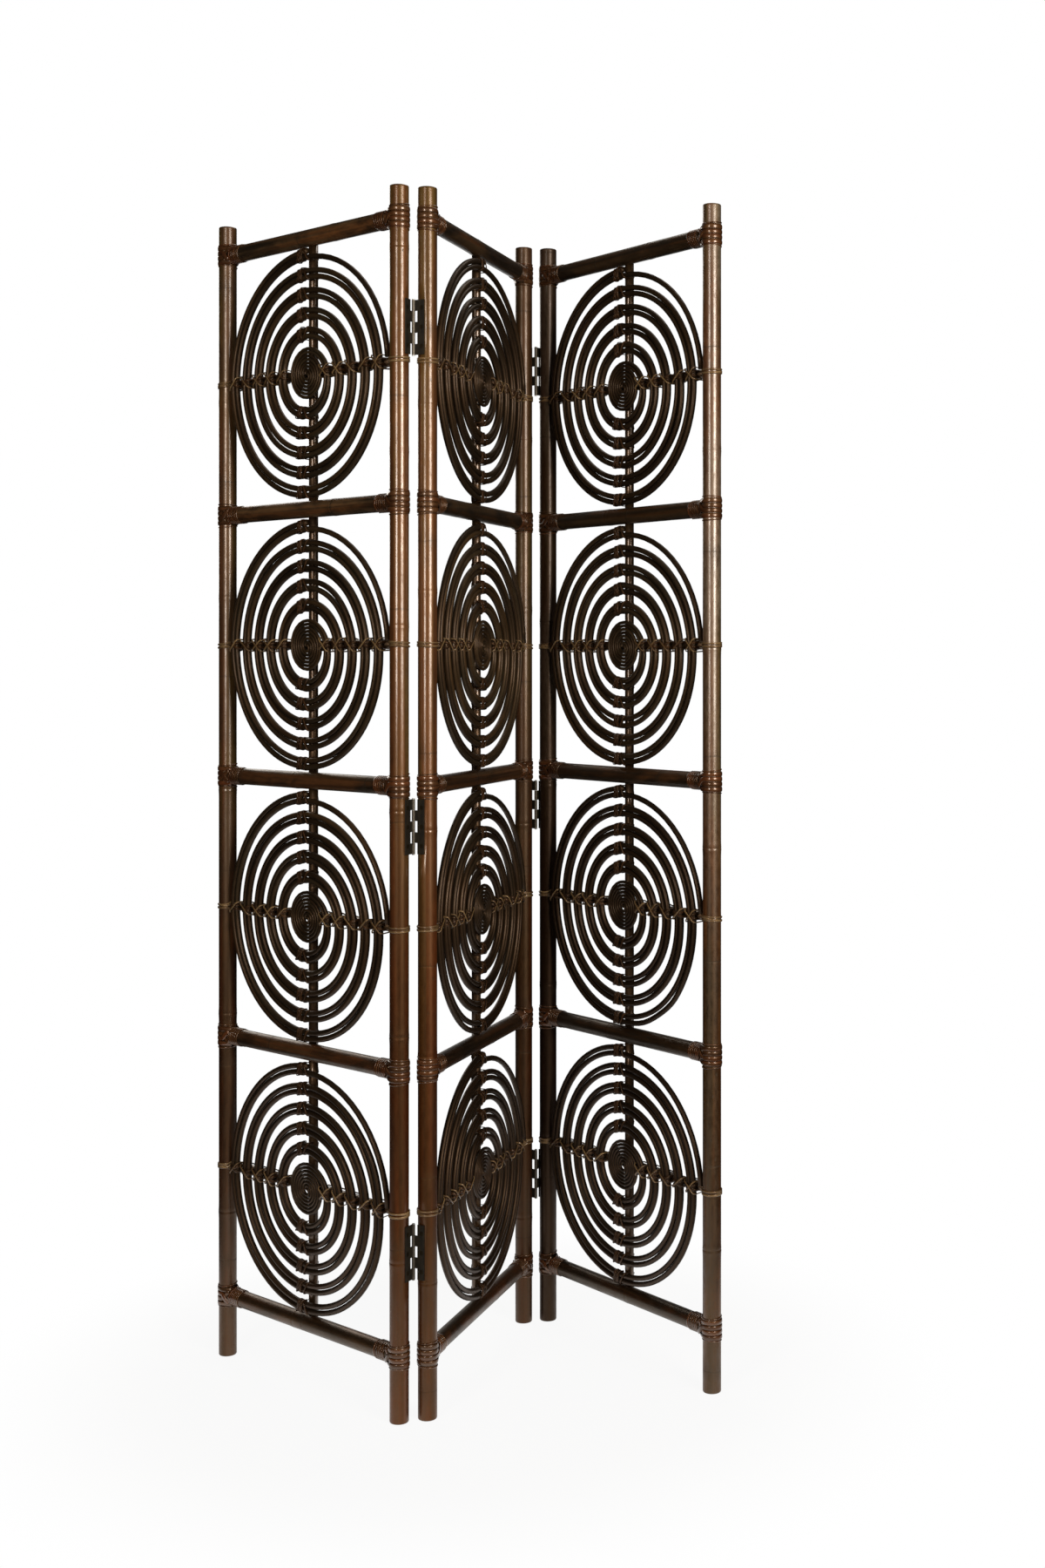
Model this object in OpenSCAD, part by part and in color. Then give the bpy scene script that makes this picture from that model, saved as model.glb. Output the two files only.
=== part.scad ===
// Folding room screen in cane: three panels, each a ladder of two poles and
// five rails with four coiled medallions, hinged in a zigzag.
// Millimetres. X runs to the right, Y to the back, Z up. The origin is on the
// floor under the middle of the whole screen as it stands.

/* [Poles] */
// Height of the screen
pole_height = 1800; // [1650:5:2000]
// Diameter of the six upright poles
pole_d = 28; // [24:0.5:34]
// Distance between the two pole centres of a panel
pole_spacing = 416; // [380:1:470]
// Rounding of the pole ends
pole_end_round = 1.5; // [0.5:0.5:3]

/* [Rails] */
// Diameter of the rails
rail_d = 26; // [22:0.5:28]
// Height of the lowest rail's centre
bottom_rail_z = 96; // [60:1:160]
// Distance from the top rail's centre to the pole tops
pole_overrun = 46; // [25:1:90]
// Gap between a rail's coped end and the pole
cope_gap = 0.1; // [0.05:0.05:0.3]

/* [Medallions] */
// Diameter of one cane strand
strand_d = 8.6; // [7:0.1:9]
// Gap between strands that lie side by side
strand_gap = 0.45; // [0.4:0.05:0.8]
// Gap between a medallion's outer turn and the rails above and below
coil_gap = 4; // [1:0.1:8]
// Room beside the outer turn for its lashing, up to the left pole
coil_side_gap = 6.2; // [6:0.1:12]
// Radius of the tight middle disc where the open turns begin
disc_r = 31; // [28:0.5:36]
// Shift of the medallions to the right of the panel's middle
coil_shift = 2.5; // [0:0.5:5]
// Distance from the poles' plane forward to the medallion's plane
coil_forward = 6; // [4:0.5:7]

/* [Sticks] */
// Diameter of the sticks behind the medallions
stick_d = 12; // [10:0.5:14]
// Depth of the sockets that hold the stick ends
socket_depth = 6; // [4:0.5:9]
// Gap round a stick in its socket
socket_gap = 0.1; // [0.05:0.05:0.3]

/* [Bindings] */
// How far the winding stands proud of a pole
pole_wind_proud = 2; // [1:0.1:2.5]
// Width of one turn of the winding round a pole
pole_wind_pitch = 7.7; // [6:0.1:9]
// How far the winding stands proud of a rail
rail_wind_proud = 1.5; // [1:0.1:2.5]
// Width of one turn of the winding round a rail
rail_wind_pitch = 4.4; // [3.5:0.1:5.5]
// Width of one turn of the thin cord round a pole
cord_pitch = 2.6; // [2:0.1:3.5]
// How far the thin cord stands proud
cord_proud = 1.7; // [1:0.1:2.5]
// Thickness of the lashing round a strand pair and its stick
lash_t = 1.8; // [1.2:0.1:2.2]
// Width of that lashing
lash_w = 2.4; // [1.6:0.1:3]
// Gap between a lashing and what it ties
lash_gap = 0.2; // [0.1:0.05:0.4]

/* [Nails] */
// Diameter of the nails that hold the rails
nail_d = 3; // [2.5:0.1:4]
// Length of a nail
nail_length = 55; // [45:1:70]
// Diameter of a nail's head
nail_head_d = 6.5; // [5.5:0.1:8]
// Thickness of a nail's head
nail_head_t = 1.2; // [0.8:0.1:2]

/* [Hinges] */
// Height of the hinge leaves
leaf_height = 80; // [60:1:100]
// Distance from the hinge pin to the leaf's far edge
leaf_width = 18.5; // [18.5:0.5:24]
// Thickness of a leaf
leaf_t = 1.8; // [1.4:0.1:2.2]
// Diameter of the rolled knuckles
knuckle_d = 5; // [4.6:0.1:6]
// Diameter of the hinge pin
pin_d = 2.5; // [2:0.1:3]
// Running clearance round the pin
pin_gap = 0.05; // [0.03:0.01:0.1]
// Gap between two knuckles
knuckle_gap = 0.4; // [0.3:0.05:0.8]
// Open slot between a knuckle and the edge of the other leaf
knuckle_slot = 4; // [2:0.1:5]
// Distance from a pole's centre outward to the hinge pin
hinge_reach = 11; // [10:0.2:12.4]
// Half the gap between the windings of two poles when the seam is folded flat
fold_gap = 1.5; // [1:0.1:3]
// Depth of the flat on the pole that seats a leaf
seat_depth = 1.2; // [0.8:0.1:1.6]
// Distance from the lowest cross stick down to the lower leaf
lower_hinge_drop = 18; // [8:1:60]
// Distance from the centre rail down to the middle leaf
middle_hinge_drop = 19; // [19:1:90]
// Distance from the highest cross stick up to the upper leaf
upper_hinge_rise = 8; // [7:1:60]
// Shank diameter of the hinge screws
screw_d = 3.5; // [3:0.1:4]
// Length of the hinge screws
screw_length = 14; // [12:0.5:18]
// Diameter of a screw's countersunk head
screw_head_d = 7; // [6:0.1:7.4]
// Distance from the outer screws to the leaf's ends
screw_margin = 12; // [8:0.5:16]

/* [Stance] */
// Turn of the middle panel from the X axis
middle_turn = 73.5; // [60:0.5:90]
// Angle between the left and the middle panel
left_fold = 64; // [20:0.5:120]
// Angle between the middle and the right panel
right_fold = 55.5; // [20:0.5:120]

/* [Hidden] */
$fn = 48;

// A hair that carries a cutting tool past the face it cuts
past = 1;

// Rails and cells
rail_count = 5;
cell_count = rail_count - 1;
rail_pitch = (pole_height - pole_overrun - bottom_rail_z) / cell_count;
function rail_z(row) = bottom_rail_z + row * rail_pitch;
function cell_z(row) = rail_z(row) + rail_pitch / 2;

// Medallions: the pair of strands winds outward, clockwise from the front
open_turns = 5;
pair_r = (strand_d + strand_gap) / 2;
coil_x = pole_spacing / 2 + coil_shift;
// Radius of the outermost turn, to the middle of the strand pair: as large as
// the cell allows
coil_r = min((rail_pitch - rail_d) / 2 - coil_gap, coil_x - pole_d / 2 - coil_side_gap)
    - pair_r - strand_d / 2;
open_pitch = (coil_r - disc_r) / open_turns;
disc_pitch = 4 * pair_r;
first_turn = -2;
inner_start_sweep = 150;
outer_start_sweep = 108;
strand_facets = 96;
// Radius of the pair at the top, after this many turns past the disc's edge
function pair_radius(turn) = disc_r + turn * (turn > 0 ? open_pitch : disc_pitch);
// Radius of one strand at the top. Fiftieths of a millimetre keep the ends of
// two arcs, whose radii are means of these, on the very same spot.
function strand_r(turn, shift) = round(50 * (pair_radius(turn) + shift)) / 50;
// The inner strand's last stretch runs down beside the right pole
pole_half_chord = sqrt(pow(pole_d / 2, 2) - pow(coil_forward, 2));
end_gap = 0.4;
end_space = pole_spacing / 2 - coil_shift - pole_half_chord - strand_d / 2 - end_gap;
end_r = floor(50 * end_space) / 50;
end_centre_z = strand_r(open_turns, -pair_r) - end_r;
cord_turns = 3;
end_z = cord_turns * cord_pitch / 2 + past;
end_angle = asin((end_z - end_centre_z) / end_r);

// A strand is a row of arcs in the medallion's plane, seen from the front:
// [height of the centre, radius, start angle, sweep], where a sweep below zero
// runs clockwise. The left half turns share one centre and each right one lies
// half a pitch lower, so that every arc runs on smoothly from the last.
function strand_arcs(shift, first_sweep, starts_left) = [
    for (turn = [first_turn:open_turns - 1])
        let (
            top = strand_r(turn, shift),
            next = strand_r(turn + 1, shift),
            first = turn == first_turn,
            right_sweep = first ? first_sweep : 180,
            left_sweep = first && starts_left ? first_sweep : 180
        )
        each concat(
            first && starts_left ? [] : [[(top - next) / 2, (top + next) / 2, -90, right_sweep]],
            [[0, next, 90, left_sweep]]
        )
];
// The outer strand ends at the top, the inner one runs on to the right pole
outer_arcs = strand_arcs(pair_r, outer_start_sweep, false);
inner_arcs = concat(
    strand_arcs(-pair_r, inner_start_sweep, true),
    [[end_centre_z, end_r, 90, end_angle - 90]]
);

// Least gaps of the strands, measured on points along their middles
gap_step = 15;
half_turn_points = 180 / gap_step;
function along(arcs) = [
    for (arc = arcs, angle = [arc[2] + max(arc[3], 0):-gap_step:arc[2] + min(arc[3], 0)])
        [arc[1] * cos(angle), arc[0] + arc[1] * sin(angle)]
];
function least_apart(some, others, skip) =
    min([for (i = [0:len(some) - 1], j = [skip < 0 ? 0 : i + skip:1:len(others) - 1])
        norm(some[i] - others[j])]) - strand_d;
inner_points = along(inner_arcs);
outer_points = along(outer_arcs);
echo("least gap of the inner strand to itself",
    least_apart(inner_points, inner_points, half_turn_points));
echo("least gap of the outer strand to itself",
    least_apart(outer_points, outer_points, half_turn_points));
echo("least gap between the two strands", least_apart(inner_points, outer_points, -1));

// Sticks lie behind the medallions and touch them
stick_back = stick_d / 2 + strand_d / 2 - coil_forward;

// Bindings
pole_wind_turns = 4;
rail_wind_turns = 6;
bead_lap = 0.2;
wind_gap = 0.1;
lash_corner = 1.6;
rail_wind_centre = pole_d / 2 + pole_wind_proud + wind_gap
    + rail_wind_turns * rail_wind_pitch / 2 + bead_lap;

// Where the hinge leaf lies on its pole, seen along the pole: the leaf's outer
// normal stands at seat_angle from the panel's own direction
hinge_inset = pole_d / 2 + pole_wind_proud + fold_gap;
pin_reach = norm([hinge_reach, hinge_inset]);
seat_r = pole_d / 2 - seat_depth;
seat_angle = atan2(hinge_inset, hinge_reach) - acos((seat_r + knuckle_d / 2) / pin_reach);
pin_along = sqrt(pow(pin_reach, 2) - pow(seat_r + knuckle_d / 2, 2));
knuckle_count = 5;
knuckle_h = leaf_height / knuckle_count;
hinge_heights = [
    cell_z(0) - lower_hinge_drop - leaf_height / 2,
    rail_z(floor(rail_count / 2)) - middle_hinge_drop - leaf_height / 2,
    cell_z(cell_count - 1) + upper_hinge_rise + leaf_height / 2
];
screw_count = 3;
screw_spacing = (leaf_height - 2 * screw_margin) / (screw_count - 1);
pin_head_d = knuckle_d - 0.8;
pin_head_t = 1.2;
slot_w = 0.9;
slot_deep = 0.7;
screw_head_h = min((screw_head_d - screw_d) / 2, leaf_t - 0.2);
screw_tip = seat_r + leaf_t - screw_length;

// Plan of the three panels. In a panel's own frame its left pole stands at the
// origin, its right pole at [pole_spacing, 0], and Y points to its back.
function turned(v, angle) =
    [v.x * cos(angle) - v.y * sin(angle), v.x * sin(angle) + v.y * cos(angle)];
left_turn = middle_turn + left_fold - 180;
right_turn = middle_turn + right_fold - 180;
seam_on_left = [-hinge_reach, hinge_inset];
seam_on_right = [pole_spacing + hinge_reach, hinge_inset];
function flipped(v) = [v.x, -v.y];
left_plan = turned(seam_on_left, middle_turn) - turned(seam_on_right, left_turn);
right_plan = turned(flipped(seam_on_right), middle_turn)
    - turned(flipped(seam_on_left), right_turn);
middle_plan = [0, 0];
across = [pole_spacing, 0];
pole_plans = [
    left_plan, left_plan + turned(across, left_turn),
    middle_plan, middle_plan + turned(across, middle_turn),
    right_plan, right_plan + turned(across, right_turn)
];
plan_xs = [for (p = pole_plans) p.x];
plan_ys = [for (p = pole_plans) p.y];
plan_centre = [(min(plan_xs) + max(plan_xs)) / 2, (min(plan_ys) + max(plan_ys)) / 2];

module on_panel(panel) {
    plan = panel == "left" ? left_plan : panel == "right" ? right_plan : middle_plan;
    turn = panel == "left" ? left_turn : panel == "right" ? right_turn : middle_turn;
    translate([plan.x - plan_centre.x, plan.y - plan_centre.y, 0])
        rotate([0, 0, turn])
            children();
}

// A pole stands on the right or the left of its panel
function pole_x(side) = side == "right" ? pole_spacing : 0;
// Which way the pole's inner side looks along the panel
function inward(side) = side == "right" ? -1 : 1;

// Places a leaf's frame on a pole: X to the leaf's outer normal, Y along the
// leaf from the pin side to the far edge, for a fold that closes to the back
module at_leaf(side, fold_back) {
    translate([pole_x(side), 0, 0])
        mirror([side == "left" ? 1 : 0, 0, 0])
            mirror([0, fold_back ? 0 : 1, 0])
                rotate([0, 0, seat_angle])
                    mirror([0, 1, 0])
                        children();
}

// A pole with its rounded ends, before anything is cut in it
module round_pole() {
    cylinder_h = pole_height - 2 * pole_end_round;
    translate([0, 0, pole_end_round])
        cylinder(d = pole_d, h = cylinder_h);
    for (end = [0, 1])
        translate([0, 0, end * pole_height])
            mirror([0, 0, end])
                rotate_extrude() {
                    square([pole_d / 2 - pole_end_round, pole_end_round]);
                    translate([pole_d / 2 - pole_end_round, pole_end_round])
                        intersection() {
                            circle(r = pole_end_round);
                            translate([0, -pole_end_round])
                                square(pole_end_round);
                        }
                }
}

// The nail's space through a pole and into a rail, head to the outside
module nail_shape(side, grow) {
    translate([pole_x(side), 0, 0])
        rotate([0, 90 * inward(side), 0])
            translate([0, 0, -pole_d / 2 + nail_seat()]) {
                cylinder(d = nail_d + grow, h = nail_length + grow / 2);
                cylinder(d = nail_head_d + grow, h = nail_head_t);
            }
}

// Depth at which the nail's round head is sunk in the pole's round side
function nail_seat() = pole_d / 2 - sqrt(pow(pole_d / 2, 2) - pow(nail_head_d / 2, 2));

module pole(panel, side, hinge_folds_back, has_hinge) color("saddlebrown") on_panel(panel)
    difference() {
        translate([pole_x(side), 0, 0]) round_pole();
        for (row = [0:rail_count - 1])
            translate([0, 0, rail_z(row)]) {
                nail_shape(side, 2 * socket_gap);
                translate([pole_x(side) - inward(side) * (pole_d / 2 - nail_seat()), 0, 0])
                    rotate([0, -90 * inward(side), 0])
                        cylinder(d = nail_head_d + 2 * socket_gap, h = pole_d);
            }
        for (row = [0:cell_count - 1])
            translate([pole_x(side), stick_back, cell_z(row)])
                rotate([0, 90 * inward(side), 0])
                    translate([0, 0, pole_d / 2 - socket_depth - socket_gap])
                        cylinder(d = stick_d + 2 * socket_gap, h = pole_d);
        if (has_hinge)
            at_leaf(side, hinge_folds_back)
                for (z = hinge_heights) {
                    translate([seat_r, -pole_d / 2, z - leaf_height / 2 - socket_gap])
                        cube([pole_d, pole_d, leaf_height + 2 * socket_gap]);
                    each_screw(z)
                        translate([0, 0, screw_tip - past])
                            cylinder(d = screw_d + 2 * pin_gap, h = pole_d);
                }
    }

module each_screw(z) {
    for (i = [0:screw_count - 1])
        translate([0, 0, z + (i - (screw_count - 1) / 2) * screw_spacing])
            rotate([0, 90, 0])
                children();
}

// A rail, coped to both poles, drilled for its nails and for the upright sticks
module rail(panel, row) color("sienna") on_panel(panel)
    difference() {
        translate([0, 0, rail_z(row)])
            rotate([0, 90, 0])
                cylinder(d = rail_d, h = pole_spacing);
        for (side = ["left", "right"]) {
            translate([pole_x(side), 0, rail_z(row) - rail_d])
                cylinder(d = pole_d + 2 * cope_gap, h = 2 * rail_d);
            translate([0, 0, rail_z(row)]) nail_shape(side, 2 * socket_gap);
        }
        for (up = [-1, 1])
            if (row + up >= 0 && row + up < rail_count)
                translate([coil_x, stick_back, rail_z(row)])
                    mirror([0, 0, up < 0 ? 1 : 0])
                        translate([0, 0, rail_d / 2 - socket_depth - socket_gap])
                            cylinder(d = stick_d + 2 * socket_gap, h = rail_d);
    }

// One strand of a medallion, an unbroken run of arcs
module strand(arcs) {
    for (arc = arcs)
        translate([0, arc[0], 0])
            mirror([arc[3] < 0 ? 1 : 0, 0, 0])
                rotate([0, 0, arc[2]])
                    rotate_extrude(angle = abs(arc[3]), $fn = strand_facets)
                        translate([arc[1], 0])
                            circle(d = strand_d);
}

// A medallion: two strands wound side by side, clockwise from the middle
module coil(panel, row) color("#33271c") on_panel(panel)
    translate([coil_x, -coil_forward, cell_z(row)])
        rotate([90, 0, 0]) {
            strand(outer_arcs);
            strand(inner_arcs);
        }

// The four sticks up the middle of a panel, one in each cell
module upright_sticks(panel) color("#4a3020") on_panel(panel)
    for (row = [0:cell_count - 1])
        difference() {
            translate([coil_x, stick_back, rail_z(row) + rail_d / 2 - socket_depth])
                cylinder(d = stick_d, h = rail_pitch - rail_d + 2 * socket_depth);
            translate([coil_x, stick_back, cell_z(row)]) lap_cut(1);
        }

// The four sticks across a panel, from pole to pole
module cross_sticks(panel) color("#4a3020") on_panel(panel)
    for (row = [0:cell_count - 1])
        difference() {
            translate([pole_d / 2 - socket_depth, stick_back, cell_z(row)])
                rotate([0, 90, 0])
                    cylinder(d = stick_d, h = pole_spacing - pole_d + 2 * socket_depth);
            translate([coil_x, stick_back, cell_z(row)]) lap_cut(-1);
        }

// Half of a stick's thickness, cut away where two sticks cross
module lap_cut(back) {
    cut = stick_d + 2 * socket_gap;
    translate([0, back * (cut / 2 - socket_gap / 2), 0])
        cube([cut, cut, cut], center = true);
}

// A wound sleeve of beaded turns round a bar that lies along Z
module wound_sleeve(bar_d, proud, pitch, turns) {
    bead_r = (pow(pitch / 2 + bead_lap, 2) + pow(proud, 2)) / (2 * proud);
    rotate_extrude()
        difference() {
            for (i = [0:turns - 1])
                translate([bar_d / 2 + proud - bead_r, (i - (turns - 1) / 2) * pitch])
                    intersection() {
                        circle(r = bead_r);
                        translate([0, -pitch / 2 - bead_lap])
                            square([bead_r + proud, pitch + 2 * bead_lap]);
                    }
            translate([-bead_r, -turns * pitch])
                square([bar_d / 2 + wind_gap + bead_r, 2 * turns * pitch]);
        }
}

// The windings that cover each rail joint: one round the pole, one round the rail
module rail_bindings(panel) color("#6b3f1f") on_panel(panel)
    for (row = [0:rail_count - 1], side = ["left", "right"])
        translate([pole_x(side), 0, rail_z(row)]) {
            difference() {
                wound_sleeve(pole_d, pole_wind_proud, pole_wind_pitch, pole_wind_turns);
                rotate([0, 90 * inward(side), 0])
                    cylinder(d = rail_d + 2 * wind_gap, h = pole_d);
            }
            translate([inward(side) * rail_wind_centre, 0, 0])
                rotate([0, 90, 0])
                    wound_sleeve(rail_d, rail_wind_proud, rail_wind_pitch, rail_wind_turns);
        }

// Thin cord round the poles at the cross sticks' ends, and the lashings that
// tie each turn of a medallion to the sticks behind it
module lashings(panel) color("#8a6a35") on_panel(panel)
    for (row = [0:cell_count - 1]) {
        for (side = ["left", "right"])
            translate([pole_x(side), 0, cell_z(row)])
                difference() {
                    wound_sleeve(pole_d, cord_proud, cord_pitch, cord_turns);
                    translate([0, stick_back, 0])
                        rotate([0, 90 * inward(side), 0])
                            cylinder(d = stick_d + 2 * wind_gap, h = pole_d);
                }
        translate([coil_x, 0, cell_z(row)])
            for (turn = [1:open_turns]) {
                r = pair_radius(turn) - lash_bend(turn) / 2;
                right_r = pair_radius(turn) - open_pitch / 2;
                right_x = sqrt(pow(right_r, 2) - pow(open_pitch / 2, 2));
                lean = turn % 2 == 0 ? 1 : -1;
                translate([0, 0, r]) lashing(turn, lean);
                translate([0, 0, -r]) lashing(turn, -lean);
                translate([-r, 0, 0]) lashing(turn, lean);
                translate([right_x, 0, 0]) lashing(turn, -1);
            }
    }

// How far a turn's curve strays from its tangent within a lashing
function lash_bend(turn) =
    pow(2 * pair_r + lash_w, 2) / 2 / (pair_radius(turn) - open_pitch / 2 - 2 * pair_r);

// A lashing lies at 45 degrees to the strands and to the stick
module lashing(turn, lean) {
    rotate([0, lean * 45, 0])
        translate([0, 0, -lash_w / 2])
            linear_extrude(lash_w)
                difference() {
                    polygon(lash_outline(turn, lash_t));
                    polygon(lash_outline(turn, 0));
                }
}

function lash_outline(turn, grow) =
    let (
        pair_space = pair_r + strand_d / 2 + lash_bend(turn) / 2,
        pair_half = pair_space * sqrt(2) + lash_w / 2 + lash_gap + grow,
        stick_half = stick_d / 2 * sqrt(2) + lash_w / 2 + lash_gap + grow,
        face = -coil_forward - strand_d / 2 - lash_gap - grow,
        back = stick_back + stick_d / 2 + lash_gap + grow
    ) [
        [-pair_half + lash_corner, face], [pair_half - lash_corner, face],
        [pair_half, -coil_forward], [stick_half, stick_back],
        [stick_half - lash_corner, back], [-stick_half + lash_corner, back],
        [-stick_half, stick_back], [-pair_half, -coil_forward]
    ];

module rail_nails(panel) color("dimgray") on_panel(panel)
    for (row = [0:rail_count - 1], side = ["left", "right"])
        translate([0, 0, rail_z(row)]) nail_shape(side, 0);

// The leaves of one pole's three hinges. The leaf's frame has the pole's centre
// at the origin, the leaf's outer normal on X and the pin on the Y side.
module leaves(panel, side, folds_back, odd_at) color("#3a3128") on_panel(panel)
    at_leaf(side, folds_back)
        for (i = [0:len(hinge_heights) - 1])
            translate([0, 0, hinge_heights[i] - leaf_height / 2])
                leaf(odd_at[i]);

module leaf(takes_odd) {
    axis = [seat_r + knuckle_d / 2, -pin_along];
    difference() {
        union() {
            translate([seat_r, -pin_along, 0])
                cube([leaf_t, leaf_width, leaf_height]);
            for (i = [0:knuckle_count - 1])
                if ((i % 2 == 0) == takes_odd)
                    translate([axis.x, axis.y, i * knuckle_h + knuckle_gap / 2])
                        cylinder(d = knuckle_d, h = knuckle_h - knuckle_gap);
        }
        for (i = [0:knuckle_count - 1])
            if ((i % 2 == 0) != takes_odd)
                translate([seat_r - past, axis.y - past, i * knuckle_h - knuckle_gap / 2])
                    cube([leaf_t + 2 * past, knuckle_d / 2 + knuckle_slot + past,
                          knuckle_h + knuckle_gap]);
        translate([axis.x, axis.y, -past])
            cylinder(d = pin_d + 2 * pin_gap, h = leaf_height + 2 * past);
        each_screw(leaf_height / 2)
            translate([0, 0, seat_r])
                screw_hole();
    }
}

module screw_hole() {
    translate([0, 0, -past])
        cylinder(d = screw_d + 2 * pin_gap, h = leaf_t + 2 * past);
    translate([0, 0, leaf_t - screw_head_h])
        cylinder(d1 = screw_d, d2 = screw_head_d, h = screw_head_h);
    translate([0, 0, leaf_t])
        cylinder(d = screw_head_d, h = past);
}

// A countersunk screw, its head flush with the leaf, slotted
module screw() {
    difference() {
        union() {
            translate([0, 0, seat_r + leaf_t - screw_head_h])
                cylinder(d1 = screw_d, d2 = screw_head_d, h = screw_head_h);
            translate([0, 0, screw_tip])
                cylinder(d = screw_d, h = screw_length - screw_head_h);
        }
        translate([-screw_head_d, -slot_w / 2, seat_r + leaf_t - slot_deep])
            cube([2 * screw_head_d, slot_w, 2 * slot_deep]);
    }
}

module screws(panel, side, folds_back) color("#57503f") on_panel(panel)
    at_leaf(side, folds_back)
        for (z = hinge_heights)
            each_screw(z) screw();

// The three hinge pins of a seam, each with a thin head at both ends
module pins(panel, side, folds_back) color("#8d8a82") on_panel(panel)
    at_leaf(side, folds_back)
        for (z = hinge_heights)
            translate([seat_r + knuckle_d / 2, -pin_along, z]) {
                cylinder(d = pin_d, h = leaf_height + knuckle_gap + 2 * pin_head_t, center = true);
                for (up = [-1, 1])
                    translate([0, 0, up * (leaf_height + knuckle_gap + pin_head_t) / 2])
                        cylinder(d = pin_head_d, h = pin_head_t, center = true);
            }

// Which leaf has the outer knuckles at the lower, middle and upper hinges
left_leaf_odd = [true, true, false];
right_leaf_odd = [false, false, true];

pole("left", "left", true, false);  // left_outer_pole
pole("left", "right", true, true);  // left_hinge_pole
pole("middle", "left", true, true);  // middle_left_pole
pole("middle", "right", false, true);  // middle_right_pole
pole("right", "left", false, true);  // right_hinge_pole
pole("right", "right", false, false);  // right_outer_pole
rail("left", 0);  // left_bottom_rail
rail("left", 1);  // left_lower_rail
rail("left", 2);  // left_centre_rail
rail("left", 3);  // left_upper_rail
rail("left", 4);  // left_top_rail
rail("middle", 0);  // middle_bottom_rail
rail("middle", 1);  // middle_lower_rail
rail("middle", 2);  // middle_centre_rail
rail("middle", 3);  // middle_upper_rail
rail("middle", 4);  // middle_top_rail
rail("right", 0);  // right_bottom_rail
rail("right", 1);  // right_lower_rail
rail("right", 2);  // right_centre_rail
rail("right", 3);  // right_upper_rail
rail("right", 4);  // right_top_rail
coil("left", 0);  // left_coil_1
coil("left", 1);  // left_coil_2
coil("left", 2);  // left_coil_3
coil("left", 3);  // left_coil_4
coil("middle", 0);  // middle_coil_1
coil("middle", 1);  // middle_coil_2
coil("middle", 2);  // middle_coil_3
coil("middle", 3);  // middle_coil_4
coil("right", 0);  // right_coil_1
coil("right", 1);  // right_coil_2
coil("right", 2);  // right_coil_3
coil("right", 3);  // right_coil_4
upright_sticks("left");  // left_upright_sticks
upright_sticks("middle");  // middle_upright_sticks
upright_sticks("right");  // right_upright_sticks
cross_sticks("left");  // left_cross_sticks
cross_sticks("middle");  // middle_cross_sticks
cross_sticks("right");  // right_cross_sticks
rail_bindings("left");  // left_rail_bindings
rail_bindings("middle");  // middle_rail_bindings
rail_bindings("right");  // right_rail_bindings
lashings("left");  // left_lashings
lashings("middle");  // middle_lashings
lashings("right");  // right_lashings
rail_nails("left");  // left_rail_nails
rail_nails("middle");  // middle_rail_nails
rail_nails("right");  // right_rail_nails
leaves("left", "right", true, left_leaf_odd);  // left_seam_left_leaves
leaves("middle", "left", true, right_leaf_odd);  // left_seam_right_leaves
pins("middle", "left", true);  // left_seam_pins
screws("left", "right", true);  // left_seam_left_screws
screws("middle", "left", true);  // left_seam_right_screws
leaves("middle", "right", false, left_leaf_odd);  // right_seam_left_leaves
leaves("right", "left", false, right_leaf_odd);  // right_seam_right_leaves
pins("middle", "right", false);  // right_seam_pins
screws("middle", "right", false);  // right_seam_left_screws
screws("right", "left", false);  // right_seam_right_screws
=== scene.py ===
import math
import random

import bmesh
import bpy
from bpy.props import FloatProperty, FloatVectorProperty, IntProperty, PointerProperty
from mathutils import Matrix, Vector, noise


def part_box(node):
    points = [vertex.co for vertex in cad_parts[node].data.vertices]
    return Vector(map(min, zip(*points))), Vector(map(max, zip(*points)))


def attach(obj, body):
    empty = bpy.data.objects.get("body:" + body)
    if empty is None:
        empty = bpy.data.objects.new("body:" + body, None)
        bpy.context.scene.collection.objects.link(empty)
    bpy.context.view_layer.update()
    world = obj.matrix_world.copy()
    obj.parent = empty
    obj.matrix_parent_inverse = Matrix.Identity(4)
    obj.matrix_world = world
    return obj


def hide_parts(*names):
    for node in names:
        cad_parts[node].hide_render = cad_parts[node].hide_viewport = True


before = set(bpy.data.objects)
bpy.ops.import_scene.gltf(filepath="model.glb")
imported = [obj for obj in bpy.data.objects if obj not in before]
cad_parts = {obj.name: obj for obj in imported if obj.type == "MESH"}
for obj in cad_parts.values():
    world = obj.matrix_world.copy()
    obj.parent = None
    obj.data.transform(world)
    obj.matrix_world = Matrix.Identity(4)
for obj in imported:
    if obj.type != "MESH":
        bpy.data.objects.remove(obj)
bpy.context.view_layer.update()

bl_info = {
    "name": "Coiled Cane Screen",
    "version": (1, 0, 0),
    "blender": (4, 5, 0),
    "location": "View3D > Sidebar > Cane Screen",
    "description": "Dresses a packed folding screen in cane, peel windings and aged hinges",
    "category": "Object",
}

PANELS = ("left", "middle", "right")
RAIL_ROWS = ("bottom", "lower", "centre", "upper", "top")
CELLS = range(len(RAIL_ROWS) - 1)
SIDES = ("left", "right")
# node: (panel, its side, whether its seam folds to the back, or None without hinges)
POLES = {
    "left_outer_pole": ("left", "left", None),
    "left_hinge_pole": ("left", "right", True),
    "middle_left_pole": ("middle", "left", True),
    "middle_right_pole": ("middle", "right", False),
    "right_hinge_pole": ("right", "left", False),
    "right_outer_pole": ("right", "right", None),
}
ALONG = Vector((1, 0, 0))
BACK = Vector((0, 1, 0))
UP = Vector((0, 0, 1))
LAID_ALONG = Matrix.Rotation(math.pi / 2, 4, "Y")


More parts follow.
